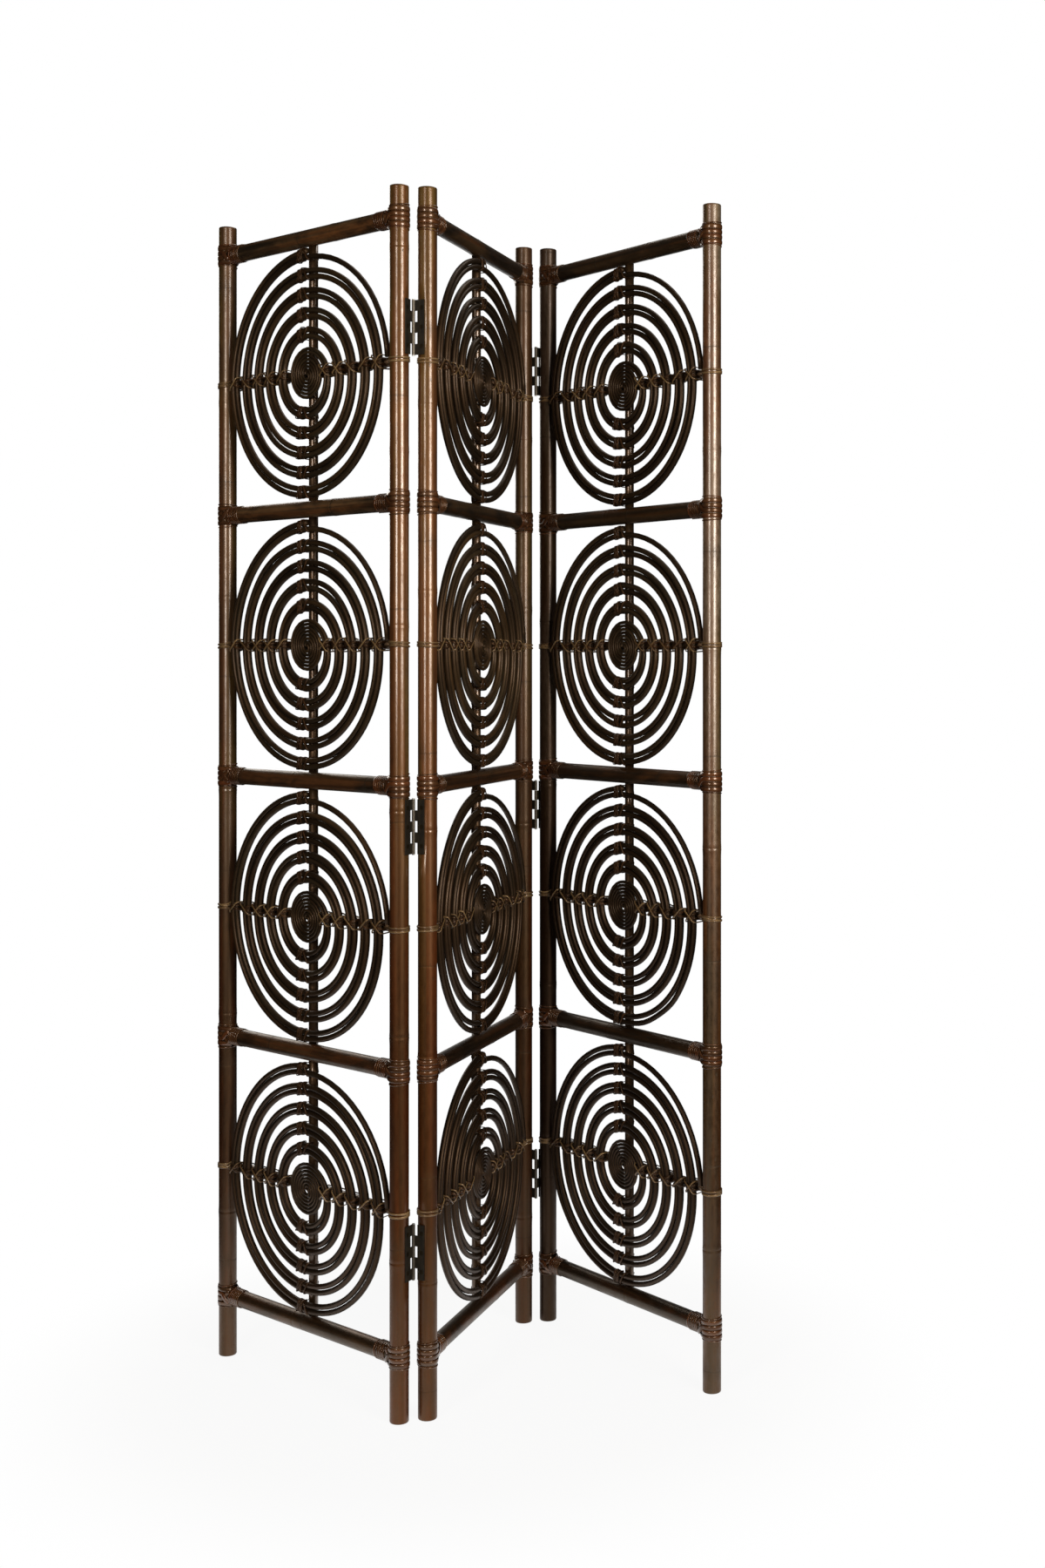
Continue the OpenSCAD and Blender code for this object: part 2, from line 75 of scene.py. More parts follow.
def heading(angle, rise=BACK):
    """The direction that lies at an angle from ALONG towards rise."""
    return ALONG * math.cos(angle) + rise * math.sin(angle)


# Sizes and colours that a user would change

def setting(name, description, value, **kind):
    return FloatProperty(name=name, description=description, default=value, **kind)


def length(name, description, value, precision=4):
    return setting(name, description, value, unit="LENGTH", precision=precision)


def colour(name, description, value):
    return FloatVectorProperty(name=name, description=description, default=value,
                               subtype="COLOR", size=3, min=0.0, max=1.0)


class CaneSizes(bpy.types.PropertyGroup):
    pole_radius: length("Pole radius", "Radius of the upright poles", 0.014)
    pole_end_round: length("Pole end rounding", "Rounding of the pole ends", 0.0015)
    rail_radius: length("Rail radius", "Radius of the rails", 0.013)
    knot_swell: length("Knot swelling", "How far a pole swells at a knot", 0.0005)
    seat_radius: length("Hinge seat", "From a pole's middle to the flat under a leaf", 0.0128)
    pin_reach: length("Pin reach", "Outward from a pole's middle to the hinge pin", 0.011)
    pin_inset: length("Pin inset", "From a pole's middle to the pin, towards the fold", 0.0175)
    knuckle_radius: length("Knuckle radius", "Radius of the hinge knuckles", 0.0025)


class MedallionSizes(bpy.types.PropertyGroup):
    strand_radius: length("Strand radius", "Radius of one coiled strand", 0.0043)
    strand_gap: length("Strand gap", "Gap between two strands side by side", 0.00045, 5)
    disc_radius: length("Disc radius", "Radius of the tight disc in the middle", 0.031)
    fine_strand: length("Fine strand radius", "Radius of a strand inside the disc", 0.0026)
    open_turns: IntProperty(
        name="Open turns", description="Turns of the strand pair outside the disc", default=5)
    forward: length("Forward", "From the poles' plane forward to the medallions", 0.006)
    stick_radius: length("Stick radius", "Radius of the sticks behind the medallions", 0.0072)
    stray: length("Stray", "How far a strand strays from its true curve", 0.0006)


class WindingSizes(bpy.types.PropertyGroup):
    bead_width: length("Bead width", "Width of one turn round a pole", 0.0077)
    bead_proud: length("Bead height", "How far a turn stands proud of a pole", 0.002)
    wrap_width: length("Wrap width", "Width of one turn round a rail", 0.0044)
    wrap_proud: length("Wrap height", "How far a turn stands proud of a rail", 0.0015)
    cord_width: length("Cord width", "Width of the thin cord round a pole", 0.0032)
    cord_proud: length("Cord height", "How far the thin cord stands proud of a pole", 0.0019)
    strap_width: length("Strap width", "Width of the lashings of the medallions", 0.0034)
    strap_thickness: length("Strap thickness", "Thickness of those lashings", 0.0014)


class ScreenColours(bpy.types.PropertyGroup):
    pole_gold: colour("Pole gold", "Upper poles", (0.095, 0.056, 0.013))
    pole_orange: colour("Pole orange", "Warmer streaks of the upper poles", (0.100, 0.032, 0.008))
    pole_brown: colour("Pole brown", "Stains on the poles", (0.022, 0.008, 0.003))
    # Foot brown is darker than the gold partly as real stain and partly as painted shade of the
    # lower poles, where less light falls.
    foot_brown_and_shade: colour("Foot brown", "Lower poles", (0.036, 0.0095, 0.001))
    rail_brown: colour("Rail brown", "Rails", (0.060, 0.032, 0.013))
    rail_dark: colour("Rail dark", "Dark patches on the rails", (0.005, 0.003, 0.0015))
    coil_brown: colour("Coil brown", "Medallions", (0.026, 0.018, 0.009))
    coil_dark: colour("Coil dark", "Dark streaks of the medallions", (0.0035, 0.0024, 0.0014))
    peel_brown: colour("Peel brown", "Windings", (0.070, 0.028, 0.009))
    peel_dark: colour("Peel dark", "Dark strips of the windings", (0.012, 0.005, 0.002))
    cord_gold: colour("Cord gold", "Thin cord", (0.210, 0.130, 0.055))
    hinge_bronze: colour("Hinge bronze", "Hinge leaves", (0.013, 0.009, 0.004))
    steel: colour("Steel", "Pins and nails", (0.50, 0.48, 0.44))


class StageSettings(bpy.types.PropertyGroup):
    lens: setting("Lens", "Focal length of the camera", 43.09, unit="CAMERA")
    shift_across: setting("Shift across", "Sideways shift of the lens", -0.1183, precision=4)
    shift_up: setting("Shift up", "Upward shift of the lens", -0.0788, precision=4)
    camera_turn: setting("Camera turn", "Turn of the camera to the right", 0.0422,
                         subtype="ANGLE", precision=4)
    camera_place: FloatVectorProperty(
        name="Camera place", description="Where the camera stands",
        default=(0.2573, -2.9594, 1.1086), unit="LENGTH", size=3)
    softbox_power: setting("Softbox power", "Power that the softboxes share in", 40.0,
                           unit="POWER")
    room_light: setting("Room light", "Strength of the light from all round", 0.12)
    floor_radius: length("Floor radius", "Radius of the round floor", 0.85)


# Where the panels stand, read from the frame

def middle_of(node):
    low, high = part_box(node)
    return (low + high) / 2


def pole_foot(node):
    spot = middle_of(node)
    return Vector((spot.x, spot.y, 0))


def pole_node(panel, side):
    return next(n for n, facts in POLES.items() if facts[:2] == (panel, side))


def panel_feet(panel):
    return [pole_foot(pole_node(panel, side)) for side in SIDES]


def in_panel(panel, along=0.0, back=0.0, up=0.0):
    """Matrix to a spot in a panel's own frame, whose X runs along the panel from
    its left pole and whose Y runs to its back."""
    foot, other = panel_feet(panel)
    across = other - foot
    turn = Matrix.Rotation(math.atan2(across.y, across.x), 4, "Z")
    return Matrix.Translation(foot) @ turn @ Matrix.Translation((along, back, up))


def panel_width(panel):
    foot, other = panel_feet(panel)
    return (other - foot).length


def rail_height(row):
    return middle_of(f"left_{RAIL_ROWS[row]}_rail").z


def cell_height(row):
    return (rail_height(row) + rail_height(row + 1)) / 2


def coil_along():
    """Distance of the medallions' middle from a panel's left pole."""
    return (in_panel("left").inverted() @ middle_of("left_upright_sticks")).x


def coil_half_height():
    low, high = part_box("left_coil_2")
    return (high.z - low.z) / 2


def inward(side):
    return 1 if side == "left" else -1


def pole_along(panel, side):
    return 0.0 if side == "left" else panel_width(panel)


# Canes and straps, grown ring by ring

def eased(value):
    value = min(1.0, max(0.0, value))
    return value * value * (3 - 2 * value)


def new_mesh():
    bm = bmesh.new()
    bm.verts.layers.float_vector.new("cane")
    return bm


def move_grain(bm, verts, distance):
    layer = bm.verts.layers.float_vector["cane"]
    for vert in verts:
        vert[layer] = vert[layer] + Vector((distance, 0, 0))


def grow_cane(bm, places, swells, half_width, half_thickness, sides, start, loop=False,
              end_material=0):
    """Fills an empty bmesh with a round or flat cane that has a ring at each of
    places, swells times as large as given. Its "cane" attribute holds where each
    point would lie if the cane were straight: along it, then across."""
    layer = bm.verts.layers.float_vector["cane"]
    verts = bmesh.ops.create_circle(bm, cap_ends=False, segments=sides, radius=1.0)["verts"]
    for vert in verts:
        vert.co.x *= half_width * swells[0]
        vert.co.y *= half_thickness * swells[0]
        vert[layer] = (start, vert.co.x, vert.co.y)
    first = edges = list(bm.edges)
    bmesh.ops.transform(bm, matrix=places[0], verts=verts)
    for i in range(1, len(places)):
        before, place = places[i - 1], places[i]
        grown = bmesh.ops.extrude_edge_only(bm, edges=edges)["geom"]
        verts = [part for part in grown if isinstance(part, bmesh.types.BMVert)]
        fresh = set(verts)
        edges = [part for part in grown
                 if isinstance(part, bmesh.types.BMEdge) and fresh.issuperset(part.verts)]
        swell = Matrix.Scale(swells[i] / swells[i - 1], 4)
        bmesh.ops.transform(bm, matrix=place @ swell @ before.inverted(), verts=verts)
        move_grain(bm, verts, (place.translation - before.translation).length)
    if loop:
        bmesh.ops.bridge_loops(bm, edges=first + edges)
        return
    for ring in (first, edges):
        for face in bmesh.ops.edgeloop_fill(bm, edges=ring)["faces"]:
            face.material_index = end_material


def lay_cane(bm, points, outs, width, thickness, sides, start=0.0, loop=False, swells=None,
             material=0):
    """Adds a cane along points to bm. Its flat side faces outs, and swells are its
    sizes at the points as shares of width and thickness."""
    part = new_mesh()
    count = len(points)
    places = []
    for i in range(count):
        before = points[i - 1] if loop or i > 0 else points[i]
        after = points[(i + 1) % count] if loop or i < count - 1 else points[i]
        run = (after - before).normalized()
        across = run.cross(outs[i]).normalized()
        place = Matrix((across, across.cross(run), run)).transposed().to_4x4()
        place.translation = points[i]
        places.append(place)
    grow_cane(part, places, swells or [1.0] * count, width / 2, thickness / 2, sides, start, loop)
    for face in part.faces:
        face.material_index = material
    add_shape(bm, part)


def add_copy(bm, shape, place, start):
    """Adds a copy of a finished shape, with its grain moved along by start."""
    before = len(bm.verts)
    copy = shape.copy()
    copy.transform(place)
    bm.from_mesh(copy)
    bpy.data.meshes.remove(copy)
    bm.verts.ensure_lookup_table()
    move_grain(bm, bm.verts[before:], start)


def add_shape(bm, part):
    """Moves all of the bmesh part into bm."""
    shape = shape_of(part, "part")
    bm.from_mesh(shape)
    bpy.data.meshes.remove(shape)


def shape_of(bm, name):
    """Turns a bmesh into a mesh."""
    bmesh.ops.recalc_face_normals(bm, faces=bm.faces)
    shape = bpy.data.meshes.new(name)
    bm.to_mesh(shape)
    bm.free()
    return shape


def forget(shapes):
    for shape in shapes:
        bpy.data.meshes.remove(shape)


def make_piece(name, bm, finishes, panel, node, flat_ends=False):
    """Turns a bmesh into a piece that rides on a panel and stands for a CAD node.
    flat_ends leaves the faces of the second finish flat."""
    for face in bm.faces:
        face.smooth = not (flat_ends and face.material_index == 1)
    mesh = shape_of(bm, name)
    for finish in finishes:
        mesh.materials.append(finish)
    piece = bpy.data.objects.new(name, mesh)
    bpy.context.scene.collection.objects.link(piece)
    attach(piece, f"{panel}_panel")
    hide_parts(node)


# Finishes

class Wire:
    """A value in a node tree. Its sums and products are maths nodes."""

    def __init__(self, tree, socket):
        self.tree = tree
        self.socket = socket

    def __add__(self, other):
        return maths("ADD", self, other)

    def __sub__(self, other):
        return maths("SUBTRACT", self, other)

    def __rsub__(self, other):
        return maths("SUBTRACT", other, self)

    def __mul__(self, other):
        return maths("MULTIPLY", self, other)

    def __truediv__(self, other):
        return maths("DIVIDE", self, other)


def feed(node, inputs):
    """Sets a node's inputs, or links those that are given as wires."""
    for key, value in inputs.items():
        if isinstance(value, Wire):
            value.tree.links.new(value.socket, node.inputs[key])
        else:
            node.inputs[key].default_value = value


def made(kind, inputs, output=0, tree=None, **settings):
    """Adds a node to tree, or to its inputs' tree, and returns one of its outputs."""
    tree = tree or next(value.tree for value in inputs.values() if isinstance(value, Wire))
    node = tree.nodes.new(kind)
    for key, value in settings.items():
        setattr(node, key, value)
    feed(node, inputs)
    return Wire(tree, node.outputs[output])


def maths(operation, *values):
    return made("ShaderNodeMath", dict(enumerate(values)), operation=operation)


def larger(first, second):
    return maths("MAXIMUM", first, second)


def held(value):
    """The value, held between 0 and 1."""
    return made("ShaderNodeClamp", {0: value})


def axis_of(vector, number):
    return made("ShaderNodeSeparateXYZ", {0: vector}, number)


def object_place(tree):
    return made("ShaderNodeTexCoord", {}, "Object", tree)


def stretched(place, scale):
    return made("ShaderNodeVectorMath", {0: place, 1: scale}, operation="MULTIPLY")


def noise_of(place, scale, detail=3.0, roughness=0.55, warp=0.0):
    inputs = {"Vector": stretched(place, scale), "Scale": 1.0, "Detail": detail,
              "Roughness": roughness, "Distortion": warp}
    return made("ShaderNodeTexNoise", inputs, "Fac")


def cells_of(place, scale):
    """Distance to the nearest of many scattered points."""
    inputs = {"Vector": stretched(place, scale), "Scale": 1.0}
    return made("ShaderNodeTexVoronoi", inputs, "Distance", feature="F1")


def ranged(value, low, high, to_low=0.0, to_high=1.0):
    return made("ShaderNodeMapRange", dict(enumerate((value, low, high, to_low, to_high))),
                interpolation_type="SMOOTHSTEP")


def mixed(share, first, second, blend="MIX"):
    return made("ShaderNodeMix", {0: share, 6: first, 7: second}, 2, data_type="RGBA",
                blend_type=blend)


def node_group(name, build, inputs):
    """The group called name. build turns its inputs' wires into its outputs' wires."""
    if name in bpy.data.node_groups:
        return bpy.data.node_groups[name]
    tree = bpy.data.node_groups.new(name, "ShaderNodeTree")
    for label, value in inputs.items():
        kind = "Float" if isinstance(value, float) else {3: "Vector", 4: "Color"}[len(value)]
        socket = tree.interface.new_socket(label, in_out="INPUT", socket_type=f"NodeSocket{kind}")
        socket.default_value = value
    given = tree.nodes.new("NodeGroupInput").outputs
    results = build({label: Wire(tree, given[label]) for label in inputs})
    for label in results:
        kind = "Color" if label == "Colour" else "Float"
        tree.interface.new_socket(label, in_out="OUTPUT", socket_type=f"NodeSocket{kind}")
    feed(tree.nodes.new("NodeGroupOutput"), results)
    return tree


def cane_skin(given):
    """Lacquered cane: long grain, cloudy stain, knots, flecks and pale scrapes, which in places are
    a painted sheen.
    """
    place, dark = given["Place"], given["Dark"]
    grain = noise_of(place, (5, 420, 420), 4.0, 0.6)
    streak = noise_of(place, (1.6, 95, 95), 2.0, 0.5)
    hue = noise_of(place, (1.5, 60, 60), 3.0, 0.6)
    cloud = noise_of(place, (7, 22, 22), 4.0, 0.6, 0.6)
    mottle = (noise_of(place, (75, 210, 210), 4.0, 0.7) - 0.5) * given["Wear"]
    # How far along the cane the nearest knot is
    along = noise_of(place, (3, 60, 60), 1.0) * 0.004 + axis_of(place, 0)
    steps = maths("FRACT", along / given["Knot spacing"])
    far = maths("ABSOLUTE", steps - 0.5) * given["Knot spacing"]
    ring = ranged(far, 0.0006, 0.0020, 1.0, 0.0)
    bruise = ranged(far, 0.002, 0.020, 1.0, 0.0) * ranged(cloud, 0.40, 0.62)
    patches = ranged(noise_of(place, (4, 12, 12), 2.0), 0.52, 0.66)
    fleck = ranged(cells_of(place, (55, 130, 130)), 0.10, 0.20, 1.0, 0.0) * patches
    fleck = fleck * given["Flecks"]
    marks = held(larger(larger(ring, bruise * 0.55) * given["Knots"], fleck))
    body = mixed(ranged(hue, 0.42, 0.58), given["Light"], given["Warm"])
    body = mixed(ranged(cloud, 0.42, 0.64) * given["Stain"], body, dark)
    body = mixed(ranged(streak, 0.42, 0.66) * given["Grain"], body, dark)
    lines = (grain - 0.5) * given["Grain"] * 1.6 + mottle * 1.8 + 1.0
    body = mixed(1.0, body, lines, "MULTIPLY")
    # Pale patches where the lacquer is scraped. Where the finishes keep them to the lit upper band,
    # they are partly a painted sheen.
    bare = ranged(noise_of(place, (2.2, 14, 14), 2.0), 0.44, 0.58) * held(mottle * 3.0 + 0.5)
    body = mixed(bare * given["Scraped"], body, (0.17, 0.135, 0.10, 1))
    worn = larger(ranged(streak, 0.36, 0.62) * 0.6 + mottle * 3.5, marks)
    relief = (grain - 0.5) * 0.35 - ring * given["Knots"] * 0.8 - fleck * 0.5
    return {
        "Colour": mixed(marks, body, mixed(0.82, dark, (0.004, 0.003, 0.002, 1))),
        "Roughness": held(cloud * 0.22 + grain * 0.10 + mottle * 0.7 + marks * 0.25
                          + given["Gloss"]),
        "Coat": held(1.0 - worn),
        "Height": relief + mottle * 0.4,
    }


def aged_metal(given):
    """Metal with cloudy tarnish and fine scratches, bare where it is rubbed."""
    cloud = noise_of(given["Place"], (140, 140, 60), 4.0, 0.65)
    scratch = noise_of(given["Place"], (1500, 1500, 90), 2.0, 0.5)
    body = mixed(ranged(cloud, 0.36, 0.62) * given["Tarnish"], given["Bright"], given["Dull"])
    bare = mixed(cloud, (0.07, 0.055, 0.04, 1), (0.22, 0.19, 0.15, 1))
    return {
        "Colour": mixed(given["Rubbed"], body, bare),
        "Roughness": held(cloud * 0.25 + scratch * 0.15 - given["Rubbed"] * 0.18
                          + given["Smoothness"]),
        "Height": scratch * 0.4 + cloud * 0.6,
    }


def cane_end(given):
    """A sawn cane end: pale pores in a dark ground."""
    hole = ranged(cells_of(given["Place"], (900, 900, 900)), 0.18, 0.42, 1.0, 0.0)
    cloud = noise_of(given["Place"], (160, 160, 160))
    body = mixed(ranged(cloud, 0.35, 0.65), given["Light"], given["Dark"])
    return {
        "Colour": mixed(hole * 0.8, body, (0.012, 0.007, 0.004, 1)),
        "Roughness": cloud * 0.2 + 0.55,
        "Height": hole * -1.0,
    }


def cleared_tree(holder):
    holder.use_nodes = True
    holder.node_tree.nodes.clear()
    return holder.node_tree


def new_finish(name, group, bump):
    """A material with one Principled shader fed by a group. Returns it, its tree,
    the group's node and the shader."""
    finish = bpy.data.materials.new(name)
    tree = cleared_tree(finish)
    skin = tree.nodes.new("ShaderNodeGroup")
    skin.node_tree = group
    colour_wire, rough_wire, height_wire = (
        Wire(tree, skin.outputs[label]) for label in ("Colour", "Roughness", "Height"))
    relief = made("ShaderNodeBump", {"Strength": 1.0, "Distance": bump, "Height": height_wire})
    shader = tree.nodes.new("ShaderNodeBsdfPrincipled")
    feed(shader, {"Base Color": colour_wire, "Roughness": rough_wire, "Normal": relief})
    feed(tree.nodes.new("ShaderNodeOutputMaterial"), {0: Wire(tree, shader.outputs[0])})
    return finish, tree, skin, shader


def rgba(value, share=1.0):
    return scaled(value, (share, share, share))


def scaled(value, shares):
    return tuple(c * s for c, s in zip(value, shares)) + (1.0,)


def cane_finish(name, light, warm, dark, low=None, bump=0.00025, shine=0.5,
                sheen=(1.0, 0.6, 0.35), coat=0.5, coat_roughness=0.12, coat_index=1.5,
                scraped=0.0, **looks):
    """Cane with its own colours. low is the colour near the floor, a painted shade of the lower
    parts that for the poles is partly also their darker stain, and looks are other inputs of the
    cane skin."""
    group = node_group("Cane skin", cane_skin, {
        "Place": (0, 0, 0), "Light": (0.3, 0.2, 0.1, 1), "Warm": (0.3, 0.15, 0.06, 1),
        "Dark": (0.1, 0.05, 0.02, 1), "Grain": 0.35, "Stain": 0.5, "Knot spacing": 0.31,
        "Knots": 0.7, "Flecks": 0.5, "Wear": 0.5, "Scraped": 0.0, "Gloss": 0.25})
    finish, tree, skin, shader = new_finish(name, group, bump)
    lacquer = Wire(tree, skin.outputs["Coat"]) * coat
    tones = {"Light": light, "Warm": warm, "Dark": dark}
    if low is not None:
        # Towards the floor the tones fade to low: painted shade of the lower parts, for the poles
        # partly also real stain.
        height = axis_of(object_place(tree), 2)
        rise = ranged(height, 0.35, 1.25)
        low_shares = {"Light": (1, 1, 1), "Warm": (1.4, 0.95, 0.8), "Dark": (0.2, 0.2, 0.2)}
        tones = {label: mixed(rise, scaled(low, low_shares[label]), tone)
                 for label, tone in tones.items()}
        lacquer = lacquer * ranged(height, 0.1, 1.1, 0.2, 1.0)
        # The pale scrapes show only from about 0.7 m up, in the band that the softboxes light, so
        # there they are partly a painted sheen.
        scraped = ranged(height, 0.7, 1.2, 0.0, scraped)
    feed(shader, {"Coat Weight": lacquer, "Coat Roughness": coat_roughness,
                  "Coat IOR": coat_index, "Specular IOR Level": shine,
                  "Specular Tint": (*sheen, 1.0)})
    place = made("ShaderNodeAttribute", {}, "Vector", tree, attribute_name="cane")
    feed(skin, {"Place": place, "Scraped": scraped, **tones})
    feed(skin, {key.replace("_", " ").capitalize(): value for key, value in looks.items()})
    return finish


def metal_finish(name, bright, dull, tarnish, smoothness, metallic=1.0, pins=()):
    """Metal, rubbed bright near the upright lines of pins."""
    group = node_group("Aged metal", aged_metal, {
        "Place": (0, 0, 0), "Bright": (0.5, 0.5, 0.5, 1), "Dull": (0.1, 0.1, 0.1, 1),
        "Tarnish": 0.6, "Rubbed": 0.0, "Smoothness": 0.3})
    finish, tree, skin, shader = new_finish(name, group, 0.00006)
    spot = object_place(tree)
    rubbed = None
    for pin in pins:
        apart = made("ShaderNodeVectorMath", {0: stretched(spot, (1, 1, 0)), 1: (pin.x, pin.y, 0)},
                     "Value", operation="DISTANCE")
        near = ranged(apart, 0.0023, 0.0029, 1.0, 0.0)
        rubbed = near if rubbed is None else larger(rubbed, near)
    if rubbed is not None:
        feed(skin, {"Rubbed": rubbed})
        metallic = rubbed * 0.6 + 0.4
    feed(skin, {"Place": spot, "Bright": bright, "Dull": dull, "Tarnish": tarnish,
                "Smoothness": smoothness})
    feed(shader, {"Metallic": metallic})
    return finish


def end_finish():
    group = node_group("Cane end", cane_end, {
        "Place": (0, 0, 0), "Light": (0.3, 0.2, 0.1, 1), "Dark": (0.1, 0.05, 0.02, 1)})
    finish, tree, skin, _ = new_finish("Sawn cane", group, 0.0002)
    feed(skin, {"Place": object_place(tree), "Light": (0.11, 0.06, 0.03, 1),
                "Dark": (0.045, 0.022, 0.010, 1)})
    return finish


def pole_finish(context, node):
    """Each pole has its own share of the gold, its own stain and gloss."""
    tones = context.scene.screen_colours
    shares, warm, foot, sheen, looks = {
        "left_outer_pole": ((0.66, 0.64, 0.4), 0.9, (0.75, 0.75, 0.4), (1, 0.62, 0.35),
                            (0.6, 0.4, 0.05, 1.0, 1.0, 0.22)),
        "left_hinge_pole": ((1.0, 1.0, 0.8), 1.0, (1.0, 0.9, 0.6), (1, 0.52, 0.22),
                            (0.45, 0.4, 0.0, 1.0, 1.0, 0.20)),
        "middle_left_pole": ((1.05, 1.05, 0.9), 1.1, (1.1, 1.0, 0.9), (1, 0.52, 0.22),
                             (0.45, 0.4, 0.0, 1.0, 1.0, 0.20)),
        "middle_right_pole": ((0.5, 0.5, 0.4), 0.5, (0.6, 0.65, 0.5), (1, 0.62, 0.35),
                              (0.65, 0.5, 0.1, 0.7, 0.35, 0.24)),
        "right_hinge_pole": ((0.15, 0.14, 0.15), 0.1, (0.2, 0.3, 0.6), (1, 0.6, 0.35),
                             (0.7, 0.6, 0.2, 0.5, 0.3, 0.26)),
        "right_outer_pole": ((1.0, 1.15, 1.4), 1.0, (1.4, 2.1, 1.4), (1, 0.74, 0.5),
                             (0.5, 0.7, 0.7, 1.0, 0.9, 0.25)),
    }[node]
    names = ("stain", "wear", "scraped", "shine", "coat", "coat_roughness")
    return cane_finish(
        f"Cane of {node}", scaled(tones.pole_gold, shares), rgba(tones.pole_orange, warm),
        rgba(tones.pole_brown), low=scaled(tones.foot_brown_and_shade, foot), sheen=sheen, knots=0.55,
        flecks=0.85, grain=0.7, gloss=0.28, coat_index=1.75, **dict(zip(names, looks)))


def rail_finishes(context):
    tones = context.scene.screen_colours
    return [
        cane_finish(f"Rail cane {kind}", rgba(tones.rail_brown, share),
                    rgba(scaled(tones.rail_brown, (1.3, 0.9, 0.6)), share), rgba(tones.rail_dark),
                    # Darker and redder towards the floor: painted shade of the lower rails.
                    low=rgba(scaled(tones.rail_brown, (0.6, 0.5, 0.4)), share), grain=0.8,
                    stain=stain, knots=0.6, flecks=0.5, gloss=0.26, shine=0.7,
                    sheen=(1.0, 0.75, 0.5), coat=0.6, coat_roughness=0.2)
        for kind, share, stain in (("brown", 1.0, 0.9), ("dark", 0.6, 1.0), ("light", 1.4, 0.85))]


def stick_finish(context):
    tones = context.scene.screen_colours
    return cane_finish(
        "Stick cane", rgba(tones.rail_brown, 0.6), rgba(tones.rail_brown, 0.4),
        rgba(tones.rail_dark), grain=0.6, stain=0.8, knots=0.5, gloss=0.22, shine=1.0, coat=1.0)


def coil_finishes(context):
    tones = context.scene.screen_colours
    return [
        cane_finish(f"Coiled cane {kind}", rgba(tones.coil_brown, share),
                    rgba(scaled(tones.coil_brown, (1.3, 1.0, 0.7)), share), rgba(tones.coil_dark),
                    # Darker towards the floor: painted shade of the lower medallions.
                    low=rgba(tones.coil_brown, 0.35 * share), grain=0.8, stain=0.65,
                    knot_spacing=0.42, knots=0.5, flecks=0.35, wear=0.4, gloss=0.34, shine=0.6,
                    coat=0.15, coat_roughness=0.2, bump=0.00018)
        for kind, share in (("olive", 0.8), ("brown", 1.15), ("black", 0.4))]


def winding_finish(context):
    tones = context.scene.screen_colours
    return cane_finish(
        "Winding peel", rgba(tones.peel_brown), scaled(tones.peel_brown, (1.2, 0.85, 0.7)),
        rgba(tones.peel_dark), grain=0.6, stain=0.7, knot_spacing=0.7, knots=0.3, flecks=0.3,
        gloss=0.22, shine=0.8, coat=0.9, coat_roughness=0.10, bump=0.00012)


def lashing_finishes(context):
    """Of the dark straps and of the golden cords."""
    tones = context.scene.screen_colours
    peel = {"grain": 0.6, "knot_spacing": 0.9, "knots": 0.2, "flecks": 0.2, "bump": 0.0001}
    return [
        cane_finish("Lashing strap", rgba(tones.peel_brown, 0.35), rgba(tones.peel_brown, 0.6),
                    rgba(tones.peel_dark, 0.6), stain=0.7, gloss=0.36, coat=0.2, **peel),
        cane_finish("Golden cord", rgba(tones.cord_gold), rgba(tones.cord_gold, 0.6),
                    rgba(tones.peel_brown, 0.5), stain=0.6, gloss=0.26, shine=0.8, coat=0.7,
                    **peel)]


def metal_finishes(context):
    """Of the leaves, the screws and the bare steel."""
    tones = context.scene.screen_colours
    pins = [middle_of("left_seam_pins"), middle_of("right_seam_pins")]
    return (
        metal_finish("Bronzed leaf", rgba(tones.hinge_bronze, 1.8), rgba(tones.hinge_bronze, 0.6),
                     0.85, 0.38, pins=pins),
        metal_finish("Bronzed screw", rgba(tones.hinge_bronze, 3.2), rgba(tones.hinge_bronze),
                     0.7, 0.28, metallic=0.8),
        metal_finish("Bare steel", rgba(tones.steel), rgba(tones.steel, 0.4), 0.5, 0.20))


def dress_node(node, finish):
    """Gives a finish to a CAD node that stays in view."""
    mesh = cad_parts[node].data
    mesh.materials.clear()
    mesh.materials.append(finish)


# Poles and rails

# (distance from a knot's groove, share of its swelling) of the rings round it
KNOT_PROFILE = ((-0.012, 0), (-0.004, 0.55), (-0.0012, 1), (0, 0.2), (0.0012, 0.8), (0.007, 0.15),
                (0.014, 0))
# Usual distance between two knots
POLE_KNOTS, RAIL_KNOTS, STICK_KNOTS = 0.31, 0.22, 0.13
# Longest stretch without a ring
BAR_GAP, STICK_GAP = 0.04, 0.06
POLE_SIDES, RAIL_SIDES, STICK_SIDES, STRAND_SIDES = 36, 32, 16, 14
# Which of its finishes each rail has, panel by panel from the bottom up
RAIL_TONES = ((2, 2, 0, 2, 2), (0, 1, 0, 1, 1), (1, 1, 0, 1, 1))


def knot_stations(start, end, spacing, radius, swell, seed):
    """(place along, radius) of the rings that make a cane's knots."""
    rng = random.Random(seed)
    stations = []
    at = start + spacing * rng.uniform(0.45, 0.95)
    while at < end - 0.03:
        stations += [(at + away, radius + share * swell) for away, share in KNOT_PROFILE]
        at += spacing * rng.uniform(0.82, 1.18)
    return stations


def with_plain_rings(stations, start, end, radius, gap):
    """Adds plain rings so that no stretch is longer than gap."""
    rings = [(start, radius)] + stations + [(end, radius)]
    full = [rings[0]]
    for ring in rings[1:]:
        span = ring[0] - full[-1][0]
        pieces = max(1, math.ceil(span / gap))
        before = full[-1]
        for k in range(1, pieces):
            full.append((before[0] + span * k / pieces, radius))
        full.append(ring)
    return full


